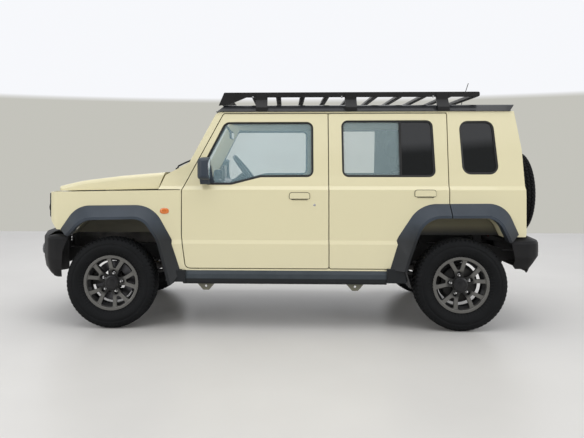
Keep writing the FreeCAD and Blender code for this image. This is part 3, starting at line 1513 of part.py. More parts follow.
def mirror_unit():
    """A door mirror: a rounded shell on a foot that reaches the door at the window's corner."""
    x0, x1 = MIRROR_XS
    plan = [(x0, 790, 40), (x1, 772, 10), (x1, 898, 14), (x0 + 22, 905, 44), (x0, 870, 30)]
    side = [(x0, 1118, 30), (x1, 1108, 12), (x1, 1283, 24), (x0, 1276, 42)]
    front = [(772, 1108, 30), (905, 1118, 44), (905, 1270, 40), (772, 1283, 36)]
    shell = plan_prism(plan, 1050, 1350)
    shell = shell.common([side_prism(side, 700, 950)]).common([front_prism(front, 500, 900)])
    glass_room = front_prism(grown(front, -12), x1 - 5, x1 + 5)
    foot = [(BELT_Y - 40, 1078, 0), (800, 1078, 16), (830, 1114, 0), (830, 1130, 0), (BELT_Y - 40, 1112, 0)]
    arm = front_prism(foot, x0 + 12, x1 - 8)
    return fused([shell.cut(glass_room), arm]).cut(side_slab(-FIT, 100))


def handle_at(leaf, x0, x1, z0, z1):
    """A door leaf with a grip hollow and the flap handle that bridges it."""
    hollow = side_prism(rect(x0 + 8, x1 - 8, z0, z1 - 10, 16), 500, 900).common(side_slab(-20, 20))
    flap = side_prism([(x0, z0 + 12, 8), (x1, z0 + 12, 8), (x1, z1, 20), (x0, z1, 20)], 500, 900)
    flap = flap.common(side_slab(-10, 3))
    return fused([leaf.cut(hollow), flap])


def rack_rail():
    """The right side rail: a flat beam, its nose bent down to the roof."""
    beam = [
        (RACK_FRONT_X, RACK_TOP_Z, 0),
        (RACK_REAR_X, RACK_TOP_Z, 12),
        (RACK_REAR_X, RACK_TOP_Z - RACK_RAIL_H, 12),
        (RACK_FRONT_X, RACK_TOP_Z - RACK_RAIL_H, 0),
    ]
    return side_prism(beam, RACK_Y, RACK_Y + RACK_RAIL_W)


def rack_nose():
    """The right end plate of the wind deflector, in front of the rail."""
    outline = [
        (RACK_FRONT_X - 58, RACK_TOP_Z - 98, 0),
        (RACK_FRONT_X - 16, RACK_TOP_Z, 16),
        (RACK_FRONT_X - FIT, RACK_TOP_Z, 0),
        (RACK_FRONT_X - FIT, RACK_TOP_Z - RACK_RAIL_H, 0),
        (RACK_FRONT_X + 152, RACK_TOP_Z - RACK_RAIL_H - FIT, 0),
        (RACK_FRONT_X + 57, RACK_TOP_Z - 76, 30),
        (RACK_FRONT_X + 2, RACK_TOP_Z - 90, 0),
    ]
    return side_prism(outline, RACK_Y, RACK_Y + RACK_RAIL_W)


def rack_deflector():
    """The sloping plate that turns the wind over the load."""
    plate = [
        (RACK_FRONT_X - 40, RACK_TOP_Z - 90, 0),
        (RACK_FRONT_X - 2, RACK_TOP_Z - 4, 0),
        (RACK_FRONT_X + 4, RACK_TOP_Z - 4, 0),
        (RACK_FRONT_X - 34, RACK_TOP_Z - 90, 0),
    ]
    return side_prism(plate, FIT - RACK_Y, RACK_Y - FIT)


def drip_z(y):
    """Height of the drip rail's sloping top."""
    return RAIL_Z + 4 + (RAIL_Y + 12 - y) * 2 / 13


def rack_foot(x):
    """A bent clamp plate from the right rail down to the drip rail."""
    outer_y = RACK_Y + RACK_RAIL_W
    section = [
        (RACK_Y + 10, RACK_TOP_Z - RACK_RAIL_H - FIT, 0),
        (outer_y + FIT, RACK_TOP_Z - RACK_RAIL_H - FIT, 0),
        (outer_y + FIT, RACK_TOP_Z - 4, 0),
        (outer_y + 8, RACK_TOP_Z - 4, 0),
        (outer_y + 8, RACK_TOP_Z - 60, 12),
        (RAIL_Y + 12, RAIL_Z + 34, 12),
        (RAIL_Y + 12, drip_z(RAIL_Y + 12) + FIT, 0),
        (RAIL_Y - 8, drip_z(RAIL_Y - 8) + FIT, 0),
    ]
    return front_prism(section, x, x + RACK_FOOT_W)


def rack():
    """The flat roof rack: two rails on three feet each, cross slats and a wind deflector."""
    made = both(rack_rail()) + both(rack_nose()) + [rack_deflector()]
    for x in RACK_FOOT_XS:
        made += both(rack_foot(x))
    inner_y = RACK_Y - FIT
    for i in range(RACK_SLATS):
        x = RACK_SLAT_X + i * RACK_SLAT_PITCH
        section = [
            (x, RACK_TOP_Z - 30, 3),
            (x + RACK_SLAT_W, RACK_TOP_Z - 30, 3),
            (x + RACK_SLAT_W, RACK_TOP_Z - 6, 8),
            (x, RACK_TOP_Z - 6, 8),
        ]
        made.append(side_prism(section, -inner_y, inner_y))
    end = rect(RACK_REAR_X - RACK_SLAT_W, RACK_REAR_X, RACK_TOP_Z - RACK_RAIL_H, RACK_TOP_Z - 6, 8)
    made.append(side_prism(end, -inner_y, inner_y))
    return made


FUEL_LID = rect(WHEELBASE + 130, WHEELBASE + 300, 955, 1026, 20)
LID_GAP = 6.0
LID_HINGE_X = WHEELBASE + 130 + LID_GAP + 25
LID_HINGE_Y = SIDE_Y - 9.0
LID_PIN_R = 2.5


def fuel_lid():
    """The filler lid on the right rear quarter, on a hidden hinge at its front edge."""
    lid = side_slab(0, 4).common(side_prism(grown(FUEL_LID, -LID_GAP), 500, 900))
    barrel = tube((LID_HINGE_X, LID_HINGE_Y, 975), (LID_HINGE_X, LID_HINGE_Y, 1006), 5.5)
    bore = tube((LID_HINGE_X, LID_HINGE_Y, 960), (LID_HINGE_X, LID_HINGE_Y, 1020), LID_PIN_R + FIT)
    return fused([lid, barrel]).cut(bore)


def lid_pin():
    """The upright pin across the filler pocket."""
    return tube((LID_HINGE_X, LID_HINGE_Y, 950), (LID_HINGE_X, LID_HINGE_Y, 1031), LID_PIN_R)


wheel_rims = {end: rim(turn) for end, turn in FORK_TURN.items()}
wheel_tyre = tyre()
right_side = cut(fused([body_side(), rear_corner()]), rear_opening())
lid_room = side_slab(-5, 45).common(side_prism(FUEL_LID, 500, 900))

save("frame_ladder", ladder_frame())
save("floor_tub", floor_tub())
save("side_left", mirrored(right_side))
save("side_right", fused([right_side.cut(lid_room), lid_pin()] + pins_for_back_door()))
save("roof", roof())
save("fenders", both(fender()))
save("front_panel", front_panel())
save("grille", grille())
save("headlamps", headlamps() + fog_lamps())
save("hood", hood())
save("radiator", radiator())
save("bumper_front", bumper_front())
save("bumper_rear", bumper_rear())
save("tail_lamps", tail_lamps())
save("flares", flares_fixed())
save("flare_door_right", flare_door())
save("flare_door_left", mirrored(flare_door()))
save("sill_covers", both(sill_cover()))
save("seals", door_seals())
save("windscreen", windscreen())
save("quarter_glass", both(pane(WINDOW_QUARTER)))
save("dashboard", dashboard())
save("steering_wheel", steering_wheel())
save("seats", seats())
save("powertrain", powertrain())
save("front_axle", front_axle())
save("rear_axle", rear_axle())
save("knuckle_left", knuckle(-1))
save("knuckle_right", knuckle(1))
save("tie_rod", tie_rod())
save("suspension", suspension())
save("fuel_tank", fuel_tank())
save("exhaust", exhaust())
save("fuel_lid", fuel_lid())
save("rack", rack())

front_leaf = handle_at(door_front(), *HANDLE_FRONT)
rear_leaf = handle_at(door_rear(), *HANDLE_REAR)
save("door_front_right", front_leaf)
save("door_front_left", mirrored(front_leaf))
save("door_rear_right", rear_leaf)
save("door_rear_left", mirrored(rear_leaf))
for label, outline in (("front", WINDOW_FRONT), ("rear", WINDOW_REAR)):
    save(f"glass_{label}_right", pane(outline))
    save(f"glass_{label}_left", mirrored(pane(outline)))
save("mirror_right", mirror_unit())
save("mirror_left", mirrored(mirror_unit()))
save("back_door", back_door())
save("back_glass", back_glass())
save("spare_tyre", spare(wheel_tyre))
save("spare_rim", spare(wheel_rims["rear"]))
for label, x in (("front", 0.0), ("rear", WHEELBASE)):
    for hand, side in (("left", -1), ("right", 1)):
        save(f"tyre_{label}_{hand}", wheel_at(wheel_tyre, x, side * TRACK / 2, side))
        save(f"rim_{label}_{hand}", wheel_at(wheel_rims[label], x, side * TRACK / 2, side))
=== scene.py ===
import json
import math

import bmesh
import bpy
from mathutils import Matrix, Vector


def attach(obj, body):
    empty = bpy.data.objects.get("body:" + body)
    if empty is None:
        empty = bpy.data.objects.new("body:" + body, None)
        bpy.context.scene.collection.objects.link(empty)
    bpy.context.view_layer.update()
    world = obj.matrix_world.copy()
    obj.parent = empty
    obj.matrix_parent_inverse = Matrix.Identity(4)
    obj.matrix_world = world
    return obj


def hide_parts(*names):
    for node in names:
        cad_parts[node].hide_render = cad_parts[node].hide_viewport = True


# A compact five-door off-road 4x4 with a roof rack, seen from its left.
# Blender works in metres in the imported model's frame: +X towards the tail, +Y towards the car's right,
# +Z up, with the origin on the ground. Sizes are the source's own, in millimetres from the
# front axle, and place() turns such a point into the frame.

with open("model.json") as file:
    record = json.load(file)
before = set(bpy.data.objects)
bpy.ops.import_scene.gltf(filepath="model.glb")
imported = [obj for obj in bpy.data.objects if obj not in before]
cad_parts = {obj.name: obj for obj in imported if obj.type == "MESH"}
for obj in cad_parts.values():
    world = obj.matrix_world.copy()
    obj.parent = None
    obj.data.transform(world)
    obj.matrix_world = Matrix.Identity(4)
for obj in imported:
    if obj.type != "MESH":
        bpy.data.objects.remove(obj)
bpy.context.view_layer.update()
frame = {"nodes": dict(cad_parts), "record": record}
nodes = frame["nodes"]

MIDDLE_X = 1317.5
WHEELBASE = 2590.0
TRACK = 1400.0
TYRE_R = 340.0
NUT_CIRCLE_R = 69.85
FORK_TURN = {"front": 79.0, "rear": 97.0}
TREAD_PITCHES = 64
SPARE_X = 3212.5
SPARE_Z = 990.0
HANDS = (("left", -1), ("right", 1))
WHEELS = [(end, x, *hand) for end, x in (("front", 0.0), ("rear", WHEELBASE)) for hand in HANDS]
VALVE_R = 178.0
CALIPER_TURN = 165.0
# The caliper's cast parts as (inner radius, half angle, far and near depth, bevel).
CALIPER_PARTS = ((96, 26, 62, 48, 3), (96, 26, 31, 20, 3), (154, 24, 50, 29, 2))

SIDE_Y = 737.0
SIDE_LINE = [
    (352, 749), (632, 749), (660, 737), (1036, 737), (1062, 716), (1140, 704), (1540, 652), (1625, 640)
]
NOSE_X = -483.0
REAR_X = 3073.0
TAIL_X = 3188.0
LAMP_Y = 520.0
LAMP_Z = 905.0
INDICATOR_Y = 646.0
FOG_Y = 470.0
FOG_Z = 560.0
FOG_FACE_X = -618.0
BACK_LINE = [(640, REAR_X - 43), (700, REAR_X), (985, REAR_X), (1330, REAR_X - 13), (1625, REAR_X - 58)]

GLASS = {
    "front": [
        (703, 1082, 20), (895, 1082, 90), (1115, 1138, 90), (1504, 1140, 40),
        (1504, 1537, 40), (850, 1537, 50), (703, 1248, 40),
    ],
    "rear": [(1738, 1140, 40), (2412, 1140, 40), (2398, 1548, 40), (1734, 1548, 40)],
    "quarter": [(2629, 1160, 55), (2877, 1160, 55), (2848, 1542, 55), (2612, 1542, 55)],
}
BACK_WINDOW = [(-520, 1150, 50), (520, 1150, 50), (488, 1530, 50), (-488, 1530, 50)]
DIVISION_X = 2164.0

# Rubbers as (outwards from the outline, depth under the surface).
RUBBER = ((10.0, 9.0), (9.8, 3.0), (7.5, 1.0), (0.0, 1.6), (-5.0, 4.0), (-6.0, 11.6), (9.0, 11.6))
# A dark ring round the door handles: painted shade standing in for the shaded gap.
HANDLE_GAP_SHADE = ((0.5, 1.5), (0.5, -1.2), (3.5, -1.2), (4.0, 1.5))
BACK_RUBBER = ((9.0, 10.0), (8.6, 1.0), (5.0, -1.5), (-3.0, -0.5), (-8.0, 4.0), (-8.0, 11.4))

# The rear lenses in the bumper as (part, look, inner and outer distance from the middle).
TAIL_LENSES = (("stop", "red_lens", 458, 552), ("turn", "amber", 554, 604), ("back", "clear_lens", 606, 652))

# Outlines of (along, up, corner radius).
MIRROR_BASE = [(696, 1076, 8), (772, 1076, 8), (752, 1150, 30), (742, 1214, 10), (696, 1256, 10)]
MIRROR_GLASS = [(788, 1124, 22), (889, 1130, 30), (889, 1256, 28), (788, 1266, 24)]
BELT_STRIP = [
    (790, 1080, 2), (900, 1080, 40), (1116, 1136, 40), (1500, 1138, 2),
    (1500, 1146, 2), (1112, 1144, 40), (896, 1088, 40), (790, 1088, 2),
]

# Turned profiles of (radius, distance from the centre along the axis).
NUT = [(0.1, 57), (6, 56.5), (9.6, 52), (10.2, 49), (10.2, 38.5), (13, 38), (13, 37.2), (0.1, 37.2)]
SPARE_NUT = [(0.1, 57), (6, 56.5), (9.6, 52), (10.2, 38.5), (13, 37.2)]
CENTRE_CAP = [(0.1, 62.4), (26, 62.0), (30, 60.6), (34, 61.6), (47, 60.4), (51.6, 58.0), (51.6, 55)]
DISC = [(90, -45), (150, -45), (150, -34), (90, -34), (90, -45)]
DRUM = [(24, -2), (118, -2), (128, -8), (128, -44), (120, -44), (120, -12), (66, -6), (24, -6), (24, -2)]
BRAKE_PLATE = [(46, -50), (144, -50), (148, -47), (148, -60), (144, -60), (140, -56), (46, -56), (46, -50)]
DOOR_LOCK = [(0.1, 1.6), (4.0, 1.6), (4.2, 0.6), (5.0, 0.4), (9.2, 1.8), (10.0, 0.4), (10.0, -2)]
BACK_LOCK = [(0.1, 3), (8, 2.6), (9.5, 1), (9.5, -3)]
BOWL = [(87, -14), (82, -8), (74, 2), (62, 12), (44, 22), (36, 26), (0.1, 30)]
EYE = [(34, 24), (34, 4), (30, -4), (20, -10), (0.1, -13)]
BEZEL = [(93.5, -13), (95, -17), (92, -20), (88, -18.5), (87.5, -12), (93.5, -13)]
INDICATOR = [(25, -13), (25, -17), (20, -20.5), (10, -23), (0.1, -23.6)]
INDICATOR_RING = [(28.5, -13.5), (28.5, -18), (25.5, -19), (25.2, -13.5), (28.5, -13.5)]
FOG_BOWL = [(41, 3), (34, 12), (20, 20), (0.1, 24)]
DIAL = [(0.1, 3), (46, 3), (50, 6), (54, 6), (54, 0), (0.1, 0)]
VENT = [(24, 0), (30, 0), (33, 5), (31, 9), (26, 9), (24, 0)]
SPEAKER = [(58, 0), (72, 0), (76, -3), (72, -7), (60, -6), (58, 0)]
RACK_BOLT = [(0.1, 6), (7, 5.4), (8.5, 3), (8.5, -2)]
OIL_CAP = [(0.1, 20), (20, 20), (25, 16), (25, 4), (29, 2), (29, -4)]
BATTERY_POST = [(0.1, 16), (8, 15), (9, 0), (15, 0), (15, -3)]
FILLER_CAP = [(0.1, 20), (10, 20), (22, 18), (24, 12), (24, 0), (31, 0), (31, -2)]

FLOOR_Z = 480.0
BENCH_X = 1700.0
SEAT_X = 1040.0
SEAT_Y = 335.0
# Seats as (label, x, middle, half width, seams, head rests).
SEATS = (
    ("front_left", SEAT_X, -SEAT_Y, 235, (-SEAT_Y - 130, -SEAT_Y + 130), (-SEAT_Y,)),
    ("front_right", SEAT_X, SEAT_Y, 235, (SEAT_Y - 130, SEAT_Y + 130), (SEAT_Y,)),
    ("bench", BENCH_X, 0, 585, (-400, -200, 0, 200, 400), (-310, 310)),
)
COLUMN_PLACE = Vector((999, -350, 1153))
COLUMN_RUN = Vector((0.79, 0, 0.613))
RACK_FEET = (1078, 1757, 2449)
WIPER_UP = 150

# Tones, with heights and radii in the frame's metres.
AXLE_MIDDLE = (WHEELBASE / 2 - MIDDLE_X) / 1000
BODY_TONE = (0.735, 0.68, 0.442)
DUST_TONE = (0.62, 0.58, 0.44)
# Painted shade on what lies below the sills, such as the jacking brackets: its tone and the heights where it
# fades in.
UNDERSIDE_SHADE_TONE = (0.105, 0.105, 0.072)
UNDERSIDE_SHADE_HEIGHTS = (0.352, 0.358)
# Painted shade that darkens the lower mouldings and the sill covers' lower facet.
PAINTED_SHADE_TONE = (0.004, 0.005, 0.006)
# Radii over which the wheels' painted shade near the hub fades out.
HUB_SHADE_RADII = (0.088, 0.112)

# The camera's place in metres, with its lens and picture in pixels.
CAMERA_PLACE = (-0.010, -5.495, 1.2131)
CAMERA_TURN = 2.12
FOCAL_PX = 638.4
WIDTH_PX = 584
FLOOR_END_Y = 6.2
WALL_TONE = (0.55, 0.545, 0.50)
CEILING_TONE = (0.93, 0.94, 0.97)
NEAR_WALL_TONE = (0.26, 0.26, 0.25)
LIGHT_BELOW = (0.37, 0.37, 0.3774)
LIGHT_ABOVE = (0.63, 0.63, 0.6426)


def add_object(name, data):
    """A new object in the scene."""
    made = bpy.data.objects.new(name, data)
    bpy.context.scene.collection.objects.link(made)
    return made


def setup_camera():
    """A camera level with the windows, square to the side but for a slight turn to the front."""
    data = bpy.data.cameras.new("camera")
    cam = add_object("camera", data)
    turn = math.radians(CAMERA_TURN)
    data.sensor_width = 36.0
    data.lens = 36.0 * FOCAL_PX / WIDTH_PX
    cam.location = CAMERA_PLACE
    cam.rotation_euler = (math.radians(90), 0, turn)
    data.shift_x = (6 + FOCAL_PX * math.tan(turn)) / WIDTH_PX
    data.shift_y = -53 / WIDTH_PX
    data.clip_start = 0.05
    bpy.context.scene.camera = cam


class Tree:
    """A small builder for the node tree of a material or of the world."""

    def __init__(self, tree):
        self.tree = tree
        self.tree.nodes.clear()
        self.place = self.add("ShaderNodeTexCoord")

    def add(self, kind, **values):
        node = self.tree.nodes.new(kind)
        for key, value in values.items():
            if hasattr(node, key):
                setattr(node, key, value)
            else:
                node.inputs[key.replace("_", " ")].default_value = value
        return node

    def wire(self, source, socket):
        """Links an output to an input, or gives the input a colour or a number."""
        if isinstance(source, bpy.types.NodeSocket):
            self.tree.links.new(source, socket)
        else:
            socket.default_value = (*source, 1) if isinstance(source, tuple) else source

    def maths(self, operation, a, b=0.0):
        node = self.add("ShaderNodeMath", operation=operation)
        self.wire(a, node.inputs[0])
        self.wire(b, node.inputs[1])
        return node.outputs[0]

    def fade(self, value, low, high, at_low=0.0, at_high=1.0):
        """A value between two limits, mapped to another range."""
        node = self.add("ShaderNodeMapRange", From_Min=low, From_Max=high, To_Min=at_low, To_Max=at_high)
        self.wire(value, node.inputs["Value"])
        return node.outputs["Result"]

    def ramp(self, factor, dark, pale, low=0.3, high=0.7):
        """A colour between two, by a factor."""
        node = self.add("ShaderNodeValToRGB")
        for element, at, tone in zip(node.color_ramp.elements, (low, high), (dark, pale)):
            element.position = at
            element.color = (*tone, 1)
        self.wire(factor, node.inputs["Fac"])
        return node.outputs["Color"]

    def mix(self, factor, a, b):
        """Two colours mixed by a factor."""
        node = self.add("ShaderNodeMix", data_type="RGBA")
        for value, socket in ((factor, 0), (a, 6), (b, 7)):
            self.wire(value, node.inputs[socket])
        return node.outputs[2]

    def along(self, letter, space="Object"):
        """One coordinate of the place that is shaded."""
        split = self.add("ShaderNodeSeparateXYZ")
        self.wire(self.place.outputs[space], split.inputs["Vector"])
        return split.outputs[letter]


class Shader(Tree):
    """A builder for one material."""

    def __init__(self, name):
        self.material = bpy.data.materials.new(name)
        self.material.use_nodes = True
        super().__init__(self.material.node_tree)
        self.bsdf = self.add("ShaderNodeBsdfPrincipled")
        out = self.add("ShaderNodeOutputMaterial")
        self.wire(self.bsdf.outputs["BSDF"], out.inputs["Surface"])

    def set(self, **values):
        """Sets or links the shader's own inputs."""
        for key, value in values.items():
            self.wire(value, self.bsdf.inputs[key.replace("_", " ")])

    def noise(self, scale, detail, rough=0.55, stretch=None):
        """The factor of a cloudy pattern."""
        node = self.add("ShaderNodeTexNoise", Scale=scale, Detail=detail, Roughness=rough)
        where = self.place.outputs["Object"]
        if stretch:
            mapping = self.add("ShaderNodeMapping", Scale=stretch)
            self.wire(where, mapping.inputs["Vector"])
            where = mapping.outputs["Vector"]
        self.wire(where, node.inputs["Vector"])
        return node.outputs["Fac"]

    def waves(self, scale, distortion, axis):
        """The factor of even bands across an axis."""
        node = self.add("ShaderNodeTexWave", Scale=scale, Distortion=distortion, bands_direction=axis)
        self.wire(self.place.outputs["Object"], node.inputs["Vector"])
        return node.outputs["Fac"]

    def distance(self, value, reach):
        return self.maths("ABSOLUTE", self.maths("SUBTRACT", value, reach))

    def by_height(self, low, high, at_low, at_high=0.0):
        """A factor that changes with height."""
        return self.fade(self.along("Z"), low, high, at_low, at_high)

    def mottled(self, scale, detail, dark, pale, low=0.3, high=0.7):
        """Colours the surface in soft patches of two tones, and returns the patches' factor."""
        patches = self.noise(scale, detail)
        self.set(Base_Color=self.ramp(patches, dark, pale, low, high))
        return patches

    def bump(self, height, strength, distance):
        node = self.add("ShaderNodeBump", Strength=strength, Distance=distance)
        self.wire(height, node.inputs["Height"])
        self.set(Normal=node.outputs["Normal"])

    def grain(self, scale, detail, strength, distance, rough=0.55):
        """A fine bump over the whole surface."""
        self.bump(self.noise(scale, detail, rough), strength, distance)

    def roughness(self, factor, low, high):
        self.set(Roughness=self.fade(factor, 0.0, 1.0, low, high))


def scaled(tone, by):
    return tuple(by * c for c in tone)


def car_paint(s, base, dust):
    """Glossy paint, dusty below, with painted shade on what lies under the sills."""
    film = s.maths("MULTIPLY", s.by_height(0.35, 0.75, 0.25), s.noise(9.0, 6.0, 0.6))
    colour = s.mix(film, base, dust)
    # Painted shade darkens what lies below the sills, such as the jacking brackets.
    s.set(Base_Color=s.mix(s.by_height(*UNDERSIDE_SHADE_HEIGHTS, 0.92), colour, UNDERSIDE_SHADE_TONE))
    s.set(Roughness=0.45, Coat_Weight=0.8, Coat_Roughness=0.05, Specular_IOR_Level=0.4)
    s.grain(160.0, 2.0, 0.03, 0.0006)


def grained_plastic(s, dark, pale, grain=900.0, depth=0.35, gloss=0.5, shine=0.35, deep=None):
    """Moulded plastic with a fine grain; below two given heights a darker tone of painted shade fades in."""
    patches = s.noise(5.0, 5.0)
    dust = s.maths("MULTIPLY", s.by_height(0.3, 0.7, 0.10), patches)
    colour = s.mix(dust, s.ramp(patches, dark, pale), (0.16, 0.15, 0.13))
    if deep:
        # Painted shade fades in below the given heights.
        colour = s.mix(s.by_height(*deep, 0.93), colour, PAINTED_SHADE_TONE)
    s.set(Base_Color=colour, Specular_IOR_Level=shine)
    s.grain(grain, 2.0, depth, 0.0008, 0.6)
    s.roughness(patches, gloss - 0.06, gloss + 0.08)


def gloss_coat(s, tone):
    """Smooth paint under a thin clear coat."""
    s.mottled(6.0, 4.0, tone, scaled(tone, 1.3))
    s.set(Coat_Weight=0.3, Coat_Roughness=0.05, Roughness=0.35, Specular_IOR_Level=0.25)
    s.grain(140.0, 2.0, 0.03, 0.0006)


def powder_coat(s, tone):
    """A dull coating with a fine texture."""
    patches = s.mottled(7.0, 4.0, (tone, tone, tone), (tone * 1.5, tone * 1.5, tone * 1.55))
    s.grain(420.0, 3.0, 0.18, 0.0006)
    s.roughness(patches, 0.40, 0.55)
    s.set(Specular_IOR_Level=0.3)


def pressed_panels(s, dark, body_colour):
    """Black sealed pressings that show a film of the body colour above the axles' height."""
    patches = s.noise(4.0, 5.0)
    colour = s.ramp(patches, dark, scaled(dark, 1.6))
    for side, low, high, amount in (("LESS_THAN", 0.58, 0.66, 0.45), ("GREATER_THAN", 0.70, 0.76, 1.0)):
        half = s.maths(side, s.along("X"), 0.0)
        film = s.maths("MULTIPLY", s.by_height(low, high, 0.0, amount), half)
        colour = s.mix(film, colour, body_colour)
    s.set(Base_Color=colour)
    s.grain(220.0, 4.0, 0.3, 0.001)
    s.roughness(patches, 0.55, 0.8)


def cast_metal(s, dark, pale):
    """Rough cast metal."""
    patches = s.mottled(14.0, 6.0, dark, pale, 0.32, 0.68)
    s.grain(260.0, 4.0, 0.4, 0.001)
    s.set(Metallic=0.55)
    s.roughness(patches, 0.5, 0.75)


def bare_metal(s, tone, rough=0.3, metal=0.9):
    """Uncoated metal, a little worn."""
    patches = s.mottled(30.0, 4.0, tone, scaled(tone, 1.25))
    s.grain(500.0, 2.0, 0.05, 0.0004)
    s.set(Metallic=metal)
    s.roughness(patches, rough, rough + 0.12)


def wheel_metal(s, axis, middle, depths, hub):
    """Gunmetal paint on the forks and flange, with painted shade that darkens it towards the hub and nearly
    to black in the barrel.
    """
    across = s.along("X" if axis == "Y" else "Y")
    for reach in hub[:-1]:
        across = s.distance(across, reach)
    above = s.maths("SUBTRACT", s.along("Z"), hub[-1])
    squares = [s.maths("MULTIPLY", reach, reach) for reach in (across, above)]
    # Painted shade: the spokes darken towards the hub, where they dish in.
    hub_shade_fade = s.fade(s.maths("SQRT", s.maths("ADD", *squares)), *HUB_SHADE_RADII)
    depth = s.fade(s.distance(s.along(axis), middle), *depths)
    flake = s.noise(900.0, 2.0, 0.7)
    face = s.ramp(flake, (0.105, 0.103, 0.096), (0.150, 0.147, 0.138))
    tone = s.mix(hub_shade_fade, (0.014, 0.014, 0.013), face)
    # Painted shade nearly blacks out the barrel; the same depth also sets the roughness.
    s.set(Base_Color=s.mix(depth, (0.006, 0.006, 0.007), tone))
    s.bump(flake, 0.04, 0.0004)
    s.set(Metallic=0.45, Coat_Weight=0.12, Coat_Roughness=0.08)
    s.roughness(depth, 0.85, 0.36)


def turned_metal(s, tone):
    """Steel with the fine rings that braking leaves, about the wheel's own axis."""
    rings = s.noise(18.0, 3.0, 0.5, (60.0, 1.0, 60.0))
    s.set(Base_Color=s.ramp(rings, tone, scaled(tone, 1.5), 0.35, 0.65), Metallic=1.0)
    s.bump(rings, 0.1, 0.0004)
    s.roughness(rings, 0.22, 0.38)


def glass_sheet(s, alpha):
    """The smooth, see-through surface that all glass shares."""
    s.roughness(s.noise(3.0, 3.0), 0.01, 0.03)
    s.set(Alpha=alpha, Specular_IOR_Level=0.75)
    s.material.surface_render_method = "BLENDED"


def glazing(s, tint, alpha):
    """Tinted glass."""
    s.mottled(3.0, 3.0, tint, scaled(tint, 1.15))
    glass_sheet(s, alpha)


def split_glazing(s, clear, dark, alpha, dark_alpha):
    """A rear door's glass: clear in front of the division bar and nearly black behind it."""
    behind = s.maths("GREATER_THAN", s.along("X"), (DIVISION_X - MIDDLE_X) / 1000)
    s.set(Base_Color=s.mix(behind, clear, dark))
    glass_sheet(s, s.fade(behind, 0.0, 1.0, alpha, dark_alpha))


def ribbed_lens(s, tone):
    """A moulded lens with fine upright ribs."""
    ribs = s.waves(220.0, 0.0, "Y")
    s.set(Base_Color=s.ramp(ribs, scaled(tone, 0.75), tone, 0.2, 0.8))
    s.bump(ribs, 0.25, 0.0008)
    s.set(Roughness=0.12, Coat_Weight=1.0, Coat_Roughness=0.03)


def tyre_rubber(s):
    """Dull black rubber."""
    patches = s.mottled(11.0, 6.0, (0.0025, 0.003, 0.0035), (0.006, 0.0065, 0.0075), 0.3, 0.72)
    s.grain(700.0, 3.0, 0.25, 0.0006)
    s.roughness(patches, 0.60, 0.78)
    s.set(Specular_IOR_Level=0.18)


def woven_cloth(s, dark, pale):
    """Seat cloth of crossed threads."""
    weave = s.maths("MULTIPLY", *[s.waves(260.0, 1.2, axis) for axis in "YZ"])
    s.set(Base_Color=s.mix(weave, dark, pale), Roughness=0.9, Sheen_Weight=0.3)
    s.bump(weave, 0.45, 0.0008)


def coat(dress, name, *tones, **more):
    """A material of that name, dressed by one of the functions above."""
    s = Shader(name)
    dress(s, *tones, **more)
    return s.material


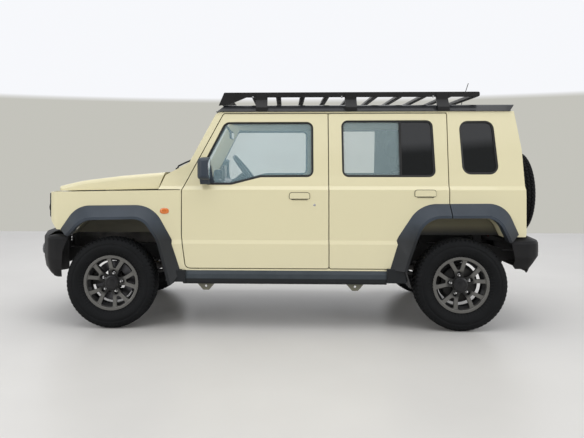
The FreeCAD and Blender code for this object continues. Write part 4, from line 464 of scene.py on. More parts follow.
LOOKS = {
    "paint": coat(car_paint, "ivory_paint", BODY_TONE, DUST_TONE),
    "roof_paint": coat(gloss_coat, "black_roof_paint", (0.008, 0.009, 0.011)),
    "bumper_plastic": coat(
        grained_plastic, "grained_bumper", (0.006, 0.006, 0.007), (0.010, 0.010, 0.011), gloss=0.55, shine=0.2
    ),
    # The mouldings and the sill covers carry painted shade below the heights given with them.
    "moulding": coat(
        grained_plastic, "grained_moulding", (0.027, 0.037, 0.051), (0.040, 0.052, 0.069),
        gloss=0.46, deep=(0.66, 0.80),
    ),
    "sill_moulding": coat(
        grained_plastic, "grained_sill", (0.027, 0.037, 0.046), (0.040, 0.052, 0.064),
        gloss=0.46, deep=(0.374, 0.380),
    ),
    "rack_paint": coat(powder_coat, "rack_coating", 0.006),
    "chassis_paint": coat(powder_coat, "chassis_coating", 0.018),
    "tub_paint": coat(pressed_panels, "tub_coating", (0.016, 0.016, 0.015), scaled(BODY_TONE, 0.22)),
    "axle_iron": coat(cast_metal, "axle_casting", (0.02, 0.02, 0.02), (0.06, 0.055, 0.05)),
    "link_steel": coat(bare_metal, "link_metal", (0.10, 0.10, 0.10), 0.4),
    "engine_iron": coat(cast_metal, "engine_casting", (0.10, 0.10, 0.10), (0.20, 0.19, 0.18)),
    "casting": coat(cast_metal, "brake_casting", (0.03, 0.03, 0.03), (0.06, 0.058, 0.055)),
    "disc": coat(turned_metal, "brake_disc_steel", (0.07, 0.07, 0.075)),
    "bright": coat(bare_metal, "bright_nut_metal", (0.62, 0.62, 0.63), 0.18, 1.0),
    "mirror": coat(bare_metal, "mirror_silver", (0.80, 0.81, 0.82), 0.03, 1.0),
    "lamp_eye": coat(gloss_coat, "lamp_eye", (0.10, 0.11, 0.13)),
    "window": coat(glazing, "front_glazing", (0.62, 0.90, 1.0), 0.13),
    "window_split": coat(
        split_glazing, "rear_glazing", (0.70, 0.92, 0.96), (0.003, 0.004, 0.005), 0.15, 0.95
    ),
    "window_dark": coat(glazing, "privacy_glazing", (0.004, 0.005, 0.006), 0.95),
    "lamp": coat(glazing, "lamp_lens", (0.75, 0.78, 0.80), 0.14),
    "tail_lens": coat(ribbed_lens, "tail_lens_body", (0.16, 0.012, 0.010)),
    "red_lens": coat(ribbed_lens, "red_lens", (0.45, 0.012, 0.010)),
    "amber": coat(ribbed_lens, "amber_lens", (0.80, 0.20, 0.02)),
    "clear_lens": coat(ribbed_lens, "clear_lens", (0.70, 0.70, 0.70)),
    "cabin_plastic": coat(
        grained_plastic, "cabin_moulding", (0.020, 0.020, 0.021), (0.032, 0.032, 0.034), 600.0, 0.3
    ),
    "trim_light": coat(
        grained_plastic, "headliner_cloth", (0.30, 0.30, 0.29), (0.38, 0.38, 0.37), 1200.0, 0.5, 0.85
    ),
    "seat_cloth": coat(woven_cloth, "seat_weave", (0.012, 0.012, 0.014), (0.060, 0.060, 0.066)),
    "seal": coat(grained_plastic, "seal_rubber", (0.010, 0.010, 0.010), (0.018, 0.018, 0.018), 300.0, 0.2),
    "tyre": coat(tyre_rubber, "tyre_rubber"),
    "rim": coat(
        wheel_metal, "gunmetal_rim", "Y", 0.0, (0.738, 0.750), (AXLE_MIDDLE, WHEELBASE / 2000, TYRE_R / 1000)
    ),
    "spare_rim": coat(
        wheel_metal, "gunmetal_spare_rim", "X",
        (SPARE_X - MIDDLE_X) / 1000, (0.038, 0.050), (0.0, SPARE_Z / 1000),
    ),
    "black_gloss": coat(gloss_coat, "black_gloss", (0.005, 0.005, 0.006)),
    "tank": coat(grained_plastic, "tank_shell", (0.010, 0.010, 0.011), (0.020, 0.020, 0.021), 250.0, 0.3),
    "silencer": coat(bare_metal, "silencer_metal", (0.30, 0.28, 0.26), 0.35),
}
OWN_LOOKS = {
    "sill_covers": "sill_moulding",
    "spare_rim": "spare_rim",
    "bumper_front": "bumper_plastic",
    "bumper_rear": "bumper_plastic",
    "grille": "bumper_plastic",
    "floor_tub": "tub_paint",
    "front_panel": "paint",
    "glass_rear_left": "window_split",
    "glass_rear_right": "window_split",
    "quarter_glass": "window_dark",
    "back_glass": "window_dark",
}


def finish_nodes():
    """Gives each node of the frame its material."""
    slot_of = {row["node"]: row["material_slot"] for row in frame["record"]["subparts"]}
    for name, node in nodes.items():
        look = OWN_LOOKS.get(name, slot_of[name])
        for slot in node.material_slots:
            slot.material = LOOKS[look]


def place(x, y, z):
    """A point given in the source's millimetres from the front axle, in the frame's metres."""
    return Vector(((x - MIDDLE_X) / 1000, y / 1000, z / 1000))


def make_piece(name, points, faces, look, body="body", slot=None, crease=35.0, bevel=0.0):
    """A mesh from millimetre points, with outward normals, that rides on a body."""
    mesh = bpy.data.meshes.new(name)
    mesh.from_pydata([place(*p) for p in points], [], faces)
    bm = bmesh.new()
    bm.from_mesh(mesh)
    bmesh.ops.remove_doubles(bm, verts=bm.verts, dist=1e-6)
    bmesh.ops.recalc_face_normals(bm, faces=bm.faces)
    bm.to_mesh(mesh)
    bm.free()
    mesh.shade_smooth()
    mesh.set_sharp_from_angle(angle=math.radians(crease))
    mesh.materials.append(LOOKS[look])
    piece = add_object(name, mesh)
    if bevel:
        edge = piece.modifiers.new("edge", "BEVEL")
        edge.width = bevel / 1000
        edge.segments = 2
        edge.limit_method = "ANGLE"
    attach(piece, body)
    return piece


def rounded(corners, steps=5):
    """Points of a closed outline of (u, v, radius), each corner rounded where its sides allow."""
    points = []
    count = len(corners)
    for i, (u, v, radius) in enumerate(corners):
        here = Vector((u, v))
        back = Vector(corners[i - 1][:2]) - here
        ahead = Vector(corners[(i + 1) % count][:2]) - here
        if not radius:
            points.append(here[:])
            continue
        half = back.angle(ahead) / 2
        reach = min(radius / math.tan(half), 0.48 * back.length, 0.48 * ahead.length)
        a = here + back.normalized() * reach
        b = here + ahead.normalized() * reach
        for k in range(steps + 1):
            t = k / steps
            points.append(((1 - t) ** 2 * a + 2 * t * (1 - t) * here + t * t * b)[:])
    return points


def moved_in(corners, distance):
    """The outline moved inwards by a distance, its corners kept round."""
    count = len(corners)
    area = sum(
        corners[i][0] * corners[(i + 1) % count][1] - corners[(i + 1) % count][0] * corners[i][1]
        for i in range(count)
    )
    side = -distance if area > 0 else distance
    made = []
    for i, (u, v, radius) in enumerate(corners):
        a = (Vector((u, v)) - Vector(corners[i - 1][:2])).normalized()
        b = (Vector(corners[(i + 1) % count][:2]) - Vector((u, v))).normalized()
        normal = Vector((a.y + b.y, -(a.x + b.x))).normalized()
        scale = side / max(0.2, normal.x * a.y - normal.y * a.x)
        made.append((u + normal.x * scale, v + normal.y * scale, max(2.0, radius - distance)))
    return made


def between(stations, at):
    """The value at a place, read off stations of (place, value)."""
    for (low, a), (high, b) in zip(stations, stations[1:]):
        if at <= high:
            return a + (b - a) * max(0.0, (at - low) / (high - low))
    return stations[-1][1]


def body_y(z):
    """Half width of the body's side at a height."""
    return between(SIDE_LINE, z)


def turns(count):
    """The angles of even steps round a circle."""
    return [math.tau * k / count for k in range(count)]


def swelled(value, power):
    """The value's size raised to a power, with its sign."""
    return math.copysign(abs(value) ** power, value)


def skinned(loops, closed_ends=False):
    """Points and faces of a skin through equal loops of points."""
    points = [p for loop in loops for p in loop]
    count = len(loops[0])
    faces = []
    for i in range(len(loops) - 1):
        for j in range(count):
            k = (j + 1) % count
            faces.append((i * count + j, i * count + k, (i + 1) * count + k, (i + 1) * count + j))
    if closed_ends:
        faces.append(tuple(range(count)))
        faces.append(tuple((len(loops) - 1) * count + j for j in range(count)))
    return points, faces


def on_side(outline, side, depth):
    """An outline of (x, z) laid on the body's side, at a depth under its surface."""
    return [(x, side * (body_y(z) - depth), z) for x, z in outline]


def side_plate(name, corners, side, out, inn, look, body="body", **more):
    """A plate on the body's side: an outline of (x, z, radius) between two depths under the surface."""
    loops = [on_side(rounded(corners), side, depth) for depth in (out, inn)]
    return make_piece(name, *skinned(loops, True), look, body, slot=look, **more)


def side_rubber(name, corners, steps, section, side, body):
    """A rubber round an outline on the body's side."""
    loops = [on_side(rounded(moved_in(corners, -grow), steps), side, depth) for grow, depth in section]
    make_piece(name, *skinned(loops + loops[:1]), "seal", body, slot="seal")


def block(name, corners, along, start, end, look, bevel=2.0, body="body"):
    """A prism of a rounded outline along x, y or z."""
    order = {"x": lambda u, v, w: (w, u, v), "y": lambda u, v, w: (u, w, v), "z": lambda u, v, w: (u, v, w)}
    outline = rounded(corners, 3)
    loops = [[order[along](u, v, w) for u, v in outline] for w in (start, end)]
    return make_piece(name, *skinned(loops, True), look, body, bevel=bevel)


def lathe(name, profile, centre, axis, look, count=48, body="body", side=1):
    """A profile of (radius, distance) turned about an axis through a centre, towards one side."""
    loops = []
    for radius, distance in profile:
        loop = []
        for a in turns(count):
            c, s, d = radius * math.cos(a), radius * math.sin(a), side * distance
            offset = {"x": (d, c, s), "y": (c, d, s), "z": (c, s, d)}[axis]
            loop.append(tuple(o + p for o, p in zip(offset, centre)))
        loops.append(loop)
    return make_piece(name, *skinned(loops), look, body)


def rod(name, path, radius, look, sides=10, body="body"):
    """A round bar along a path of points, closed at both ends."""
    loops = []
    for i, here in enumerate(path):
        before = Vector(path[max(0, i - 1)])
        after = Vector(path[min(len(path) - 1, i + 1)])
        run = (after - before).normalized()
        across = run.cross(Vector((0.13, 0.21, 0.97))).normalized()
        over = run.cross(across)
        ring = []
        for a in turns(sides):
            ring.append(tuple(Vector(here) + (across * math.cos(a) + over * math.sin(a)) * radius))
        loops.append(ring)
    return make_piece(name, *skinned(loops, True), look, body)


def rect(u0, u1, v0, v1, radius=0.0):
    return [(u0, v0, radius), (u1, v0, radius), (u1, v1, radius), (u0, v1, radius)]


def joined(name, pieces):
    """Several pieces of one body as one mesh."""
    first = pieces[0]
    with bpy.context.temp_override(
        active_object=first, object=first, selected_objects=pieces, selected_editable_objects=pieces
    ):
        bpy.ops.object.join()
    first.name = name
    first.data.name = name
    return first


def tread_depth(turn, y):
    """How deep the tread is cut at a turn in pitches and a place across it, from 0 to 1."""
    across = abs(y)
    sway = abs((turn % 1.0) * 2 - 1) * 7
    if across < 60:
        for middle in (17, 47):
            if abs(across - middle - sway + 3.5) < 3.6:
                return 1.0
        slant = turn + math.copysign(0.012, y) * across
        wide = 0.10 if across < 17 else 0.14
        return 0.75 if abs(slant % 1.0 - 0.5) < wide else 0.0
    return 1.0 if abs((turn + 0.25) % 1.0 - 0.5) < 0.17 else 0.0


def tyre_line():
    """The tyre's outer line from its middle to its bead, as (distance from the middle, radius)."""
    tread = [3.3 * k for k in range(0, 24)]
    crown = [(y, 340 - 3.2 * (y / 60) ** 2 if y < 60 else 336.8 - (y - 60) ** 2 * 0.018) for y in tread]
    shoulder = [(80, 327), (84, 322), (88, 316), (92, 308)]
    wall = [
        (92.6, 303), (94.0, 300), (95.2, 292), (94.2, 290), (94.8, 281), (96.6, 279), (97.2, 268),
        (95.8, 256), (92.4, 245), (88.6, 236), (87.4, 234), (81, 224.5), (74, 217), (72.5, 213.5),
        (69.5, 210.5), (66.2, 208.4), (65.4, 204), (65.4, 191.4),
    ]
    return crown + shoulder + wall


def tyre_points():
    """The all-terrain tyre about the Y axis at the origin, as loops round the tyre."""
    half = tyre_line()
    steps = TREAD_PITCHES * 8
    loops = []
    for y, r in [(-y, r) for y, r in reversed(half[1:])] + half:
        groove_depth = 8.0 if abs(y) < 80 else 3.5 if abs(y) < 92.2 else 0.0
        loop = []
        for i in range(steps):
            cut = groove_depth * tread_depth(i / 8, y) if groove_depth else 0.0
            a = math.tau * i / steps
            loop.append(((r - cut) * math.cos(a), y, (r - cut) * math.sin(a)))
        loops.append(loop)
    return loops


def make_tyres():
    """Five treaded tyres in place of the plain ones, the spare turned to face the rear."""
    loops = tyre_points()
    for end, x, hand, side in WHEELS:
        y = side * TRACK / 2
        moved = [[(x + px, y + side * py, TYRE_R + pz) for px, py, pz in loop] for loop in loops]
        name = f"treaded_tyre_{end}_{hand}"
        tyre = make_piece(name, *skinned(moved), "tyre", f"wheel_{end}_{hand}", slot="tyre", crease=40)
        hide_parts(f"tyre_{end}_{hand}")
    moved = [[(SPARE_X + py, px, SPARE_Z + pz) for px, py, pz in loop] for loop in loops]
    tyre = make_piece("treaded_tyre_spare", *skinned(moved), "tyre", "back_door", slot="tyre", crease=40)
    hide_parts("spare_tyre")


def on_circle(across, z, radius, degrees):
    """A point of an upright circle about a centre."""
    a = math.radians(degrees)
    return across + radius * math.cos(a), z + radius * math.sin(a)


def make_wheel_parts():
    """Nuts, centre caps, valves and brakes of the four road wheels, and the spare's nuts."""
    for end, x, hand, side in WHEELS:
        body = f"wheel_{end}_{hand}"
        y = side * TRACK / 2
        hub = (x, y, TYRE_R)
        nuts = []
        for i in range(5):
            px, pz = on_circle(x, TYRE_R, NUT_CIRCLE_R, FORK_TURN[end] + 72 * i)
            nuts.append(lathe("nut", NUT, (px, y, pz), "y", "bright", 12, body, side))
        joined(f"wheel_nuts_{end}_{hand}", nuts)
        lathe(f"centre_cap_{end}_{hand}", CENTRE_CAP, hub, "y", "black_gloss", 48, body, side)
        px, pz = on_circle(x, TYRE_R, VALVE_R, FORK_TURN[end] + 36)
        rod(f"valve_{end}_{hand}", [(px, y + side * out, pz) for out in (55, 74)], 4.2, "tyre", body=body)
        if end == "front":
            lathe(f"brake_disc_{hand}", DISC, hub, "y", "disc", 64, body, side)
        else:
            lathe(f"brake_drum_{hand}", DRUM, hub, "y", "casting", 64, body, side)
            lathe(f"brake_plate_{hand}", BRAKE_PLATE, hub, "y", "tank", 64, side=side)
    for i in range(5):
        y, z = on_circle(0, SPARE_Z, NUT_CIRCLE_R, FORK_TURN["rear"] + 72 * i)
        lathe(f"spare_nut_{i}", SPARE_NUT, (SPARE_X, y, z), "x", "bright", 12, "back_door")


def caliper_outline(inner, spread):
    """A sector of the front brake's circle, as an outline of (x, z, radius)."""
    spans = range(-spread, spread + 1, spread // 2)
    ring = [(inner, t) for t in spans] + [(168, t) for t in reversed(spans)]
    return [(*on_circle(0, TYRE_R, r, CALIPER_TURN + t), 0) for r, t in ring]


def make_calipers():
    """Brake calipers on the front knuckles, straddling the discs ahead of the axle."""
    for hand, side in HANDS:
        y = side * TRACK / 2
        cast = []
        for inner, spread, far, near, bevel in CALIPER_PARTS:
            outline = caliper_outline(inner, spread)
            y0, y1 = y - side * far, y - side * near
            cast.append(block("caliper", outline, "y", y0, y1, "casting", bevel, f"knuckle_{hand}"))
        joined(f"caliper_{hand}", cast)


def make_window_rubbers():
    """Black rubber round each side window, from the panel's edge in to the glass."""
    for hand, side in HANDS:
        front, rear = f"door_front_{hand}", f"door_rear_{hand}"
        for label, body in (("front", front), ("rear", rear), ("quarter", "body")):
            side_rubber(f"window_rubber_{label}_{hand}", GLASS[label], 6, RUBBER, side, body)
        bar = rect(DIVISION_X - 9, DIVISION_X + 9, 1131, 1556)
        side_plate(f"window_bar_{hand}", bar, side, 3.0, 11.6, "seal", rear)
        side_plate(f"mirror_base_{hand}", MIRROR_BASE, side, 3.5, 11.6, "moulding", front)
        side_plate(f"belt_strip_{hand}", BELT_STRIP, side, 2.0, 9.0, "seal", front)


def make_side_details():
    """Dark rings of painted shade in the gaps round the door handles, indicators on the wings, door locks and
    mirror glasses.
    """
    for hand, side in HANDS:
        for end, x0, x1, z0, z1 in (("front", 1334, 1482, 970, 1014), ("rear", 2261, 2414, 988, 1034)):
            flap = [(x0, z0, 8), (x1, z0, 8), (x1, z1, 20), (x0, z1, 20)]
            # Painted shade: a dark ring stands in for the shaded gap round the handle.
            side_rubber(f"handle_gap_shade_{end}_{hand}", flap, 5, HANDLE_GAP_SHADE, side, f"door_{end}_{hand}")
        loops = []
        for scale, out in ((1.0, -2.0), (1.0, 2.0), (0.93, 5.0), (0.75, 7.2), (0.45, 8.4), (0.1, 8.8)):
            loop = []
            for a in turns(32):
                u = swelled(math.cos(a), 0.7) * 34 * scale
                v = swelled(math.sin(a), 0.85) * 22 * scale
                loop.append((396 + u, side * (SIDE_Y + out), 876 + v))
            loops.append(loop)
        make_piece(f"side_indicator_{hand}", *skinned(loops, True), "amber")
        body = f"door_front_{hand}"
        lathe(f"door_lock_{hand}", DOOR_LOCK, (1519, side * body_y(923), 923), "y", "bright", 24, body, side)
        glass = [(side * y, z, radius) for y, z, radius in MIRROR_GLASS]
        block(f"mirror_glass_{hand}", glass, "x", 743.5, 746.5, "mirror", 0.8, body)


def screen_point(y, along, off):
    """A point on the windscreen: across the car, up the glass from its base, and out from it."""
    run = Vector((253, 0, 466)).normalized()
    out = Vector((-466, 0, 253)).normalized()
    return tuple(Vector((512, y, 1130)) + run * along + out * off)


def make_wipers():
    """Two wipers parked low on the windscreen, with their arms and the cowl's louvred cover."""
    for label, pivot_y, blade_y in (("left", -500, -290), ("right", 60, 250)):
        bent = [(452, pivot_y, 1190), (460, pivot_y + 20, 1214), (502, pivot_y + 90, 1240)]
        bent.append(screen_point(blade_y, WIPER_UP, 24))
        shaft = [(452, pivot_y, 1126), (452, pivot_y, 1198)]
        arm = [rod("arm", bent, 6.5, "rack_paint"), rod("arm", shaft, 12, "rack_paint", 16)]
        joined(f"wiper_arm_{label}", arm)
        spine = []
        for k in range(11):
            spine.append(screen_point(blade_y - 235 + 47 * k, WIPER_UP, 11 + 7 * math.sin(math.pi * k / 10)))
        edge = [screen_point(blade_y + end, WIPER_UP, 4) for end in (-240, 240)]
        blade = [rod("blade", spine, 4.5, "rack_paint", 8), rod("blade", edge, 3.2, "seal", 8)]
        joined(f"wiper_blade_{label}", blade)
    slat = rect(392, 474, 1118.5, 1124, 2)
    middles = [-560 + 1120 * k / 45 for k in range(46)]
    joined("cowl_louvres", [block("louvre", slat, "y", y - 5, y + 5, "rack_paint", 1) for y in middles])


def make_lamps():
    """Bowls and lenses of the headlamps, indicators and fog lamps, and the rear lenses in the bumper."""
    for hand, side in HANDS:
        head = (NOSE_X, side * LAMP_Y, LAMP_Z)
        turn = (NOSE_X, side * INDICATOR_Y, LAMP_Z - 6)
        fog = (FOG_FACE_X, side * FOG_Y, FOG_Z)
        for part, profile, centre, look, count in (
            ("headlamp_bowl", BOWL, head, "mirror", 64),
            ("headlamp_eye", EYE, head, "lamp_eye", 40),
            ("headlamp_bezel", BEZEL, head, "black_gloss", 64),
            ("indicator", INDICATOR, turn, "amber", 32),
            ("indicator_ring", INDICATOR_RING, turn, "black_gloss", 32),
            ("fog_bowl", FOG_BOWL, fog, "mirror", 40),
        ):
            lathe(f"{part}_{hand}", profile, centre, "x", look, count)
        for part, look, y0, y1 in TAIL_LENSES:
            lens = rect(side * y0, side * y1, 569.5, 624.5, 4)
            block(f"tail_{part}_{hand}", lens, "x", TAIL_X + 2.2, TAIL_X + 4.6, look, 1.2)


def make_grille_mesh():
    """A fine net of wire behind the grille's slots, and the radiator's fins."""
    paths = [[(NOSE_X + 2, y, 845 + 5.2 * k) for y in (-325, 325)] for k in range(26)]
    paths += [[(NOSE_X + 2.5, -324 + 8 * k, z) for z in (845, 975)] for k in range(82)]
    joined("grille_mesh", [rod("wire", path, 1.0, "rack_paint", 5) for path in paths])
    fins = [rect(NOSE_X + 57, NOSE_X + 59.5, 780 + 8 * k, 782.2 + 8 * k) for k in range(22)]
    joined("radiator_fins", [block("fin", fin, "y", -322, 322, "casting", 0) for fin in fins])


def make_back_door_parts():
    """Handle, lock, high stop lamp, wiper and rubber of the back door."""
    x, door = REAR_X, "back_door"
    block("back_handle_well", rect(-596, -560, 930, 1062, 14), "x", x - 1, x + 3, "moulding", 1.5, door)
    block("back_handle", rect(-590, -568, 942, 1050, 9), "x", x + 4, x + 22, "moulding", 3, door)
    lathe("back_lock", BACK_LOCK, (x, -578, 905), "x", "bright", 24, door)
    block("high_stop_lamp", rect(-150, 150, 1545, 1566, 8), "x", x - 52, x - 36, "red_lens", 2, door)
    arm = [(x - 2, 60, 1128), (x + 16, 60, 1132), (x + 8, -40, 1180), (x + 4, -230, 1206)]
    rod("back_wiper_arm", arm, 5, "rack_paint", body=door)
    blade = [(x + 1, -70, 1192), (x + 3, -230, 1206), (x - 1, -400, 1221)]
    rod("back_wiper_blade", blade, 4, "seal", 8, door)
    loops = []
    for grow, depth in BACK_RUBBER:
        outline = rounded(moved_in(BACK_WINDOW, -grow + 8), 6)
        loops.append([(between(BACK_LINE, z) - depth, y, z) for y, z in outline])
    make_piece("window_rubber_back", *skinned(loops), "seal", door, slot="seal")


def spread(outline, count):
    """The closed outline again as evenly spaced points."""
    lengths = [0.0]
    ring = outline + outline[:1]
    for a, b in zip(ring, ring[1:]):
        lengths.append(lengths[-1] + math.dist(a, b))
    made = []
    k = 0
    for i in range(count):
        at = lengths[-1] * i / count
        while lengths[k + 1] < at:
            k += 1
        t = (at - lengths[k]) / max(1e-9, lengths[k + 1] - lengths[k])
        (u0, v0), (u1, v1) = ring[k], ring[k + 1]
        made.append((u0 + (u1 - u0) * t, v0 + (v1 - v0) * t))
    return made


def groove(distance, width, depth):
    """How deep a sewn channel pulls the cloth in at a distance from its stitches."""
    return depth * math.exp(-((distance / width) ** 2))


def pad(name, corners, y0, y1, seams, channels):
    """A stuffed pad: an outline of (x, z, radius) across the car, crowned, with seams and sewn channels."""
    outline = spread(rounded(corners, 6), 96)
    count = len(outline)
    middle = (y0 + y1) / 2
    half = (y1 - y0) / 2
    loops = []
    steps = 44
    for k in range(steps + 1):
        t = swelled(math.sin(-math.pi / 2 + math.pi * k / steps), 0.72)
        y = middle + half * t
        edge = 32.0 * (1 - math.sqrt(max(0.0, 1 - max(0.0, (abs(t) - 0.80) / 0.20) ** 2)))
        crown = 9.0 * t * t
        pulled = max([groove(y - s, 5.0, 7.0) for s in seams] + [0.0])
        loop = []
        for i, (x, z) in enumerate(outline):
            ax, az = outline[i - 1]
            bx, bz = outline[(i + 1) % count]
            run = Vector((bx - ax, bz - az)).normalized()
            across = 0.0
            if abs(t) < 0.72:
                across = max([groove(math.dist((x, z), sewn), 7.0, 6.0) for sewn in channels] + [0.0])
            into = edge + crown + max(pulled, across)
            loop.append((x - run.y * into, y, z + run.x * into))
        loops.append(loop)
    piece = make_piece(name, *skinned(loops, True), "seat_cloth", slot="seat_cloth", crease=60)
    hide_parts("seats")


def seat_outlines(x, z):
    """The cushion, back and head rest of one seat as outlines of (x, z, radius)."""
    cushion = [(x, z + 74, 46), (x + 494, z + 60, 50), (x + 494, z + 186, 44), (x, z + 206, 54)]
    back = [(x + 452, z + 204, 30), (x + 552, z + 204, 40), (x + 697, z + 680, 40), (x + 612, z + 697, 38)]
    rest = [(x + 618, z + 744, 26), (x + 698, z + 734, 34), (x + 722, z + 886, 42), (x + 652, z + 896, 34)]
    return cushion, back, rest


def make_seats():
    """The two front seats and the rear bench as stuffed pads on their frames."""
    z = FLOOR_Z
    for label, x, y, half, seams, rests in SEATS:
        cushion, back, rest = seat_outlines(x, z)
        top = [(x + 130, z + 201), (x + 250, z + 196), (x + 370, z + 191)]
        face = [(x + 497, z + 340), (x + 530, z + 445), (x + 563, z + 550)]
        pad(f"{label}_cushion", cushion, y - half, y + half, seams, top)
        pad(f"{label}_back", back, y - half + 15, y + half - 15, seams, face)
        plinth = rect(x + 62, x + 436, y - half + 76, y + half - 76, 20)
        base = block(f"{label}_plinth", plinth, "z", z + 2, z + 88, "cabin_plastic", 6)
        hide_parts("seats")
        for k, rest_y in enumerate(rests):
            pad(f"{label}_head_rest_{k}", rest, rest_y - 130, rest_y + 130, [], [])
            posts = [[(x + 650, rest_y + s, z + 674), (x + 672, rest_y + s, z + 764)] for s in (-60, 60)]
            stalk = joined(f"{label}_rest_posts_{k}", [rod("post", post, 6, "bright", 14) for post in posts])
            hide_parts("seats")


def make_cabin_parts():
    """What shows through the windows: dashboard fittings, inner mirror, sun visors and headliner."""
    y = COLUMN_PLACE.y
    binnacle = [(735, 1112, 10), (800, 1112, 10), (792, 1184, 30), (742, 1186, 30)]
    block("binnacle", binnacle, "y", y - 150, y + 150, "cabin_plastic", 8)
    for hand, side in HANDS:
        lathe(f"dial_{hand}", DIAL, (797, y + 66 * side, 1146), "x", "black_gloss", 40)
    block("centre_screen", rect(-118, 118, 1118, 1218, 10), "x", 770, 786, "black_gloss", 3)
    for k, vent_y in enumerate((-548, -150, 150, 548)):
        lathe(f"vent_{k}", VENT, (852, vent_y * 0.98, 1052), "x", "cabin_plastic", 32)
    block("grab_bar", rect(878, 902, 1044, 1066, 9), "y", 230, 480, "cabin_plastic", 5)
    block("inner_mirror", rect(-118, 118, 1446, 1512, 22), "x", 830, 848, "cabin_plastic", 4)
    block("inner_mirror_glass", rect(-112, 112, 1452, 1506, 18), "x", 848, 850, "mirror", 0.5)
    rod("inner_mirror_stem", [(790, 0, 1560), (822, 0, 1520), (832, 0, 1490)], 9, "cabin_plastic")
    for hand, side in HANDS:
        visor = rect(816, 976, side * 60, side * 500, 26)
        block(f"sun_visor_{hand}", visor, "z", 1594, 1610, "trim_light", 6)
    block("headliner", rect(840, 2960, -560, 560, 60), "z", 1636, 1644, "trim_light", 3)


def make_wheel_cover():
    """The sewn cover of the steering wheel's ring."""
    loops = []
    for k, a in enumerate(turns(40)):
        out = Vector((0, 1, 0)) * math.cos(a) + Vector((0.613, 0, -0.79)) * math.sin(a)
        middle = COLUMN_PLACE + out * 170
        radius = 17.0 + (1.2 if k % 2 else 0.0)
        ring = []
        for b in turns(12):
            ring.append(tuple(middle + (out.normalized() * math.cos(b) + COLUMN_RUN * math.sin(b)) * radius))
        loops.append(ring)
    make_piece("wheel_cover", *skinned(loops + loops[:1]), "black_gloss", "steering_wheel")


def make_door_trims():
    """Inner trims of the side doors: panel, armrest and speaker grille."""
    face = SIDE_Y - 51
    for hand, side in HANDS:
        back = side * (face - 5)
        for label, x0, x1 in (("front", 640, 1500), ("rear", 1730, 2230)):
            body = f"door_{label}_{hand}"
            panel = rect(x0, x1, 560, 1010, 40)
            block(f"trim_{label}_{hand}", panel, "y", side * (face + 0.5), back, "cabin_plastic", 2, body)
            rest = rect(x0 + 180, x1 - 60, 800, 842, 16)
            block(f"armrest_{label}_{hand}", rest, "y", back, side * (face - 24), "cabin_plastic", 6, body)
            where = (x0 + 110, back, 660)
            lathe(f"speaker_{label}_{hand}", SPEAKER, where, "y", "cabin_plastic", 40, body, side)


def make_rack_parts():
    """Bolts on the rack's feet."""
    for hand, side in HANDS:
        places = [(x + s, side * 596, 1742) for x in RACK_FEET for s in (-24, 24)]
        bolts = [lathe("bolt", RACK_BOLT, where, "y", "bright", 12, side=side) for where in places]
        joined(f"rack_bolts_{hand}", bolts)


def make_mud_guards():
    """Flexible guards behind the front wheels and ahead of the rear ones, under the sills."""
    for hand, side in HANDS:
        for label, width, line in (
            ("front", 735, [(404, 352, 4), (412, 352, 0), (428, 470, 0), (420, 470, 4)]),
            ("rear", 786, [(2176, 452, 4), (2186, 452, 0), (2226, 316, 0), (2214, 316, 4)]),
        ):
            block(f"mud_guard_{label}_{hand}", line, "y", side * 600, side * width, "cabin_plastic", 1)


def make_engine_top():
    """The engine's cover, oil cap and intake, which the open hood shows."""
    cover = [block("cover", rect(-236, 214, -128, 52, 26), "z", 938, 974, "black_gloss", 8)]
    for x in (-180, -90, 0, 90, 158):
        cover.append(block("rib", rect(x, x + 14, -112, 36, 6), "z", 972, 981, "black_gloss", 3))
    joined("head_cover", cover)
    lathe("oil_cap", OIL_CAP, (-205, -20, 974), "z", "tank", 24)
    bend = ((40, 955), (90, 975), (136, 968), (168, 944), (176, 912))
    paths = [[(x, y, z) for y, z in bend] for x in (-170, -70, 30, 130)]
    runners = [rod("runner", path, 19, "casting", 14) for path in paths]
    runners.append(rod("runner", [(-200, 178, 918), (-20, 180, 922), (170, 178, 918)], 34, "casting", 18))
    joined("intake_manifold", runners)


def make_engine_sides():
    """What stands beside the engine: battery, air box, bottle and hoses; and the fuel filler's cap."""
    for label, side, top, look in (("battery", -1, 972, "tank"), ("air_box", 1, 985, "cabin_plastic")):
        y0, y1 = sorted((side * 340, side * 564))
        block(f"{label}_tray", rect(126, 322, y0, y1, 8), "z", 790, 802, "chassis_paint")
        y0, y1 = sorted((side * 352, side * 520))
        case = block("case", rect(140, 310, y0, y1, 12), "z", 802, top - 34, look, 4)
        lid = block("lid", rect(134, 316, y0 - 5, y1 + 5, 16), "z", top - 36, top, look, 6)
        joined(label, [case, lid])
    for label, y in (("inner", -385), ("outer", -490)):
        lathe(f"battery_post_{label}", BATTERY_POST, (180, y, 972), "z", "bright", 20)
    duct = [(150, 372, 952), (110, 320, 966), (40, 262, 968), (-30, 214, 950), (-34, 188, 930)]
    rod("air_duct", duct, 30, "cabin_plastic", 20)
    block("coolant_bottle", rect(-262, -150, -512, -404, 26), "z", 846, 968, "clear_lens", 14)
    block("bottle_shelf", rect(-270, -142, -564, -398, 8), "z", 836, 848, "chassis_paint")
    hose = [(-374, 170, 944), (-340, 168, 948), (-300, 150, 936), (-276, 120, 908), (-256, 104, 890)]
    rod("coolant_hose", hose, 17, "seal", 14)
    lathe("filler_cap", FILLER_CAP, (2812, 692, 990), "y", "tank", 28)


def make_sill_ends():
    """Grained corners where the sill covers meet the arches, and guards behind the bumper's ends."""
    front = [(428, 352, 12), (560, 352, 0), (560, 438, 0), (496, 438, 0), (446, 372, 0)]
    rear = [(2050, 350, 0), (2196, 350, 14), (2186, 455, 0), (2050, 455, 0)]
    guard = [(-500, 386, 20), (-404, 400, 20), (-404, 640, 30), (-500, 640, 30)]
    for hand, side in HANDS:
        side_plate(f"sill_end_front_{hand}", front, side, -26, 0.5, "moulding", bevel=3)
        block(f"splash_guard_{hand}", guard, "y", side * 500, side * 510, "cabin_plastic", 1)
        side_plate(f"sill_end_{hand}", rear, side, -26, 0.5, "moulding", bevel=3)


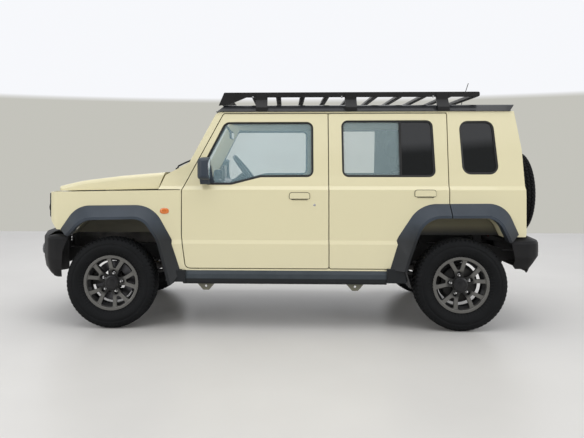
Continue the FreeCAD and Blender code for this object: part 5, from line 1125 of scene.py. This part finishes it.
def backdrop_world():
    """The studio's light: brighter above, and white where the camera, gloss or glass sees the wall."""
    world = bpy.data.worlds.new("studio")
    bpy.context.scene.world = world
    world.use_nodes = True
    t = Tree(world.node_tree)
    height = t.along("Z", "Generated")
    side = t.fade(t.along("Y", "Generated"), -0.85, -0.50)
    near = t.ramp(height, NEAR_WALL_TONE, CEILING_TONE, 0.270, 0.285)
    far = t.ramp(height, WALL_TONE, CEILING_TONE, 0.100, 0.104)
    path = t.add("ShaderNodeLightPath")
    rays = path.outputs["Is Camera Ray"]
    for kind in ("Is Glossy Ray", "Is Transmission Ray"):
        rays = t.maths("MAXIMUM", rays, path.outputs[kind])
    choose = t.add("ShaderNodeMixShader")
    t.wire(rays, choose.inputs[0])
    tones = (t.ramp(height, LIGHT_BELOW, LIGHT_ABOVE, 0.0, 0.6), t.mix(side, near, far))
    for socket, tone in zip((1, 2), tones):
        shown = t.add("ShaderNodeBackground")
        t.wire(tone, shown.inputs["Color"])
        t.wire(shown.outputs[0], choose.inputs[socket])
    out = t.add("ShaderNodeOutputWorld")
    t.wire(choose.outputs[0], out.inputs["Surface"])


def setup_stage():
    """A pale polished floor and soft lamps."""
    mesh = bpy.data.meshes.new("floor")
    corners = [(-30, -30, 0), (30, -30, 0), (30, FLOOR_END_Y, 0), (-30, FLOOR_END_Y, 0)]
    mesh.from_pydata(corners, [], [(0, 1, 2, 3)])
    floor = add_object("floor", mesh)
    s = Shader("floor_finish")
    s.mottled(0.8, 3.0, (0.68, 0.67, 0.645), (0.72, 0.71, 0.685))
    s.set(Specular_IOR_Level=0.18, Roughness=0.34)
    mesh.materials.append(s.material)
    backdrop_world()
    for name, spot, aim, size, power in (
        ("lamp_top", (0, -1.0, 5.5), (0, -0.3, 0), 6.0, 135.0),
        ("lamp_front", (-6.5, -6.5, 3.0), (-0.3, 0, 0.8), 4.0, 195.0),
        ("lamp_tail", (7.5, -6.5, 3.0), (0.3, 0, 0.8), 4.0, 215.0),
        ("lamp_far", (0, 6.0, 4.2), (0, 0, 0.8), 4.5, 76.0),
    ):
        data = bpy.data.lights.new(name, "AREA")
        data.shape = "SQUARE"
        data.size = size
        data.energy = power
        lamp = add_object(name, data)
        lamp.location = spot
        lamp.rotation_euler = (Vector(aim) - Vector(spot)).to_track_quat("-Z", "Y").to_euler()


setup_camera()
finish_nodes()
make_tyres()
make_wheel_parts()
make_calipers()
make_window_rubbers()
make_side_details()
make_wipers()
make_lamps()
make_grille_mesh()
make_back_door_parts()
make_seats()
make_cabin_parts()
make_wheel_cover()
make_door_trims()
make_rack_parts()
make_mud_guards()
make_sill_ends()
make_engine_top()
make_engine_sides()
setup_stage()

bpy.context.scene.view_settings.view_transform = "Standard"
